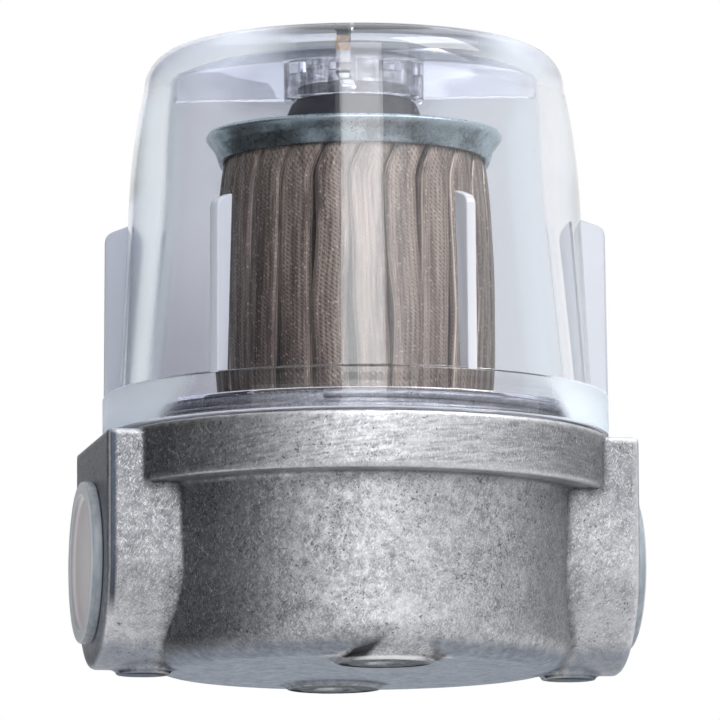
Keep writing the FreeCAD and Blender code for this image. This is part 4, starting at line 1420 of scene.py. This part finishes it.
# %% Pleat tree: each pleat a little different
free = maths("MAXIMUM", maths("SINE", up * math.pi), 0.0) ** 0.5
ring_number = maths("MODULO", number, inputs["Pleats"])
lean_noise = wander(vector(ring_number * 7.31 + 3.3, up * 1.6, inputs["Seed"]), 1.0)
swell_noise = wander(vector(ring_number * 5.77 + 71.0, up * 1.1, inputs["Seed"]), 1.0)
crease = wander(vector(along * 7.0, up * 1.2, 9.0), 2.0)
pitch = math.tau / inputs["Pleats"]
sway = lean_noise * free * (pitch * 0.9)
under_cap = spread(up, 0.88, 1.0) ** 1.6
turn = (number + swing) * pitch + depth * (inputs["Lean"] + sway) + under_cap * inputs["Top Lean"]
reach = inputs["End Radius"] + inputs["Bulge"] * free - inputs["Root Radius"]
uneven = swell_noise * free * inputs["Unevenness"]
creased = crease * free * (inputs["Unevenness"] * 0.6)
radius = depth * (reach + uneven + creased) + inputs["Root Radius"]
folded = vector(
    radius * maths("COSINE", turn), radius * maths("SINE", turn), inputs["Bottom"] + up * inputs["Height"])
on_cloth = vector((number + used) * inputs["Fold Length"], up * inputs["Height"])
marked = add(tree, "GeometryNodeStoreNamedAttribute", {
    "Geometry": grid.outputs[0], "Name": "sheet", "Value": on_cloth}, data_type="FLOAT2", domain="CORNER")
wound = add(tree, "GeometryNodeSetPosition", {"Geometry": marked.outputs[0], "Position": folded})
closed = add(tree, "GeometryNodeMergeByDistance", {"Geometry": wound.outputs[0], "Distance": 0.001 * MM})
smooth = add(tree, "GeometryNodeSetShadeSmooth", {0: closed.outputs[0]})
pleat_tree = close_tree(tree, smooth.outputs[0], inputs)

# %% [markdown]
# The tree's inputs are the sizes of this cartridge: 24 pleats that bulge between the caps and lean a
# little, most of all just under the top cap. Solidify then gives the cloth its thickness.

# %% Pleated mesh
PLEATS = 24
CLOTH_THICKNESS = 0.3 * MM
pleats = grow(linked("pleated_mesh_finish", bpy.data.meshes.new("pleats")), pleat_tree, {
    "Pleats": PLEATS,
    "Steps": 20,
    "Levels": 44,
    "Bottom": mesh_low.z,
    "Height": mesh_high.z - mesh_low.z,
    "Root Radius": 15.2 * MM,
    "End Radius": 21.0 * MM,
    "Bulge": 1.9 * MM,
    "Lean": math.radians(3),
    "Unevenness": 0.9 * MM,
    "Top Lean": math.radians(7),
    "Fold Length": FOLD_LENGTH,
    "Seed": 4.0,
    "Material": wire_cloth,
})
wall = pleats.modifiers.new("wall", "SOLIDIFY")
wall.thickness = CLOTH_THICKNESS
wall.offset = 0
plain(pleats)
seat(pleats, "head", "wire_mesh", "pleated_mesh")

# %% [markdown]
# The buffer is a soft rubber block, so its edges are well rounded, and the seal is a plain rubber ring.
# The gasket, the drilled core and the two adhesive rings keep their solids and only get a finish.

# %% Buffer, seal and hidden pieces
BUFFER_BORE_R = 4.0 * MM
BUFFER_SHOULDER_R = 10.2 * MM
BUFFER_PLUG_R = 9.4 * MM
SEAL_WIDTH = 1.7 * MM
buffer_r = buffer_high.x
shoulder_z = SOCKET_BOTTOM - 0.3 * MM
buffer = turned("buffer_finish", [
    (BUFFER_BORE_R, buffer_low.z, 0.3 * MM),
    (buffer_r, buffer_low.z, 0.3 * MM),
    (buffer_r, buffer_low.z + 1.2 * MM, 0.4 * MM),
    (BUFFER_SHOULDER_R, shoulder_z, 0.35 * MM),
    (BUFFER_PLUG_R, shoulder_z, 0.1 * MM),
    (BUFFER_PLUG_R, buffer_high.z, 0.6 * MM),
    (BUFFER_BORE_R, buffer_high.z, 0.4 * MM),
], buffer_rubber, 50, segments=120)
seat(buffer, "head", "buffer_rubber", "top_buffer")

seal_inner_r = seal_high.x - SEAL_WIDTH
seal_outer_r = FLANGE_R - LIP_THICKNESS - OVERLAP
seal = turned("seal_finish", [
    (seal_inner_r, seal_low.z, 0.3 * MM), (seal_outer_r, seal_low.z, 0.3 * MM),
    (seal_outer_r, seal_high.z, 0.4 * MM), (seal_inner_r, seal_high.z, 0.4 * MM)], seal_rubber, 60)
seat(seal, "seal", "seal_rubber", "bowl_seal_ring")

for node, material in (
    ("outlet_gasket", seal_rubber),
    ("core_tube", drilled_sheet),
    ("top_bond_ring", adhesive),
    ("bottom_bond_ring", adhesive),
):
    mesh = frame["nodes"][node].data
    mesh.materials.clear()
    mesh.materials.append(material)

# %% [markdown]
# ## The plugs
# A push-in plug is thin soft plastic: a stem like a cup, and a flange with a shallow recess. It is
# turned round Z and then laid on its side. Every edge has a generous round, as in a cheap moulding.

# %% Plugs
PLUG_R = (plug_high.z - plug_low.z) / 2
PLUG_STEM_R = BORE_R - 0.075 * MM
PLUG_WALL = 1.3 * MM


def plug(name, side, body, node):
    """A plug made with its face upwards on z = 0, then laid along X with its face outwards."""
    back = -1.9 * MM
    floor = -0.9 * MM
    stem_end = -(plug_high.x - plug_low.x)
    obj = turned(name, [
        (0, floor + 0.15 * MM, 0),
        (PLUG_R - 2.8 * MM, floor, 0.5 * MM),
        (PLUG_R - 2.1 * MM, 0, 0.35 * MM),
        (PLUG_R, 0, 0.55 * MM),
        (PLUG_R, back, 0.3 * MM),
        (PLUG_STEM_R, back, 0.1 * MM),
        (PLUG_STEM_R, stem_end, 0.5 * MM),
        (PLUG_STEM_R - PLUG_WALL, stem_end, 0.3 * MM),
        (PLUG_STEM_R - PLUG_WALL, back, 0.4 * MM),
        (0, back, 0),
    ], plug_plastic, 60, segments=120)
    face = Matrix.Translation((side * plug_high.x, 0, PORT_Z))
    obj.data.transform(face @ Matrix.Rotation(math.radians(90) * side, 4, "Y"))
    seat(obj, body, "plug_plastic", node)


plug("left_plug_finish", -1, "left_plug", "left_port_plug")
plug("right_plug_finish", 1, "right_plug", "right_port_plug")
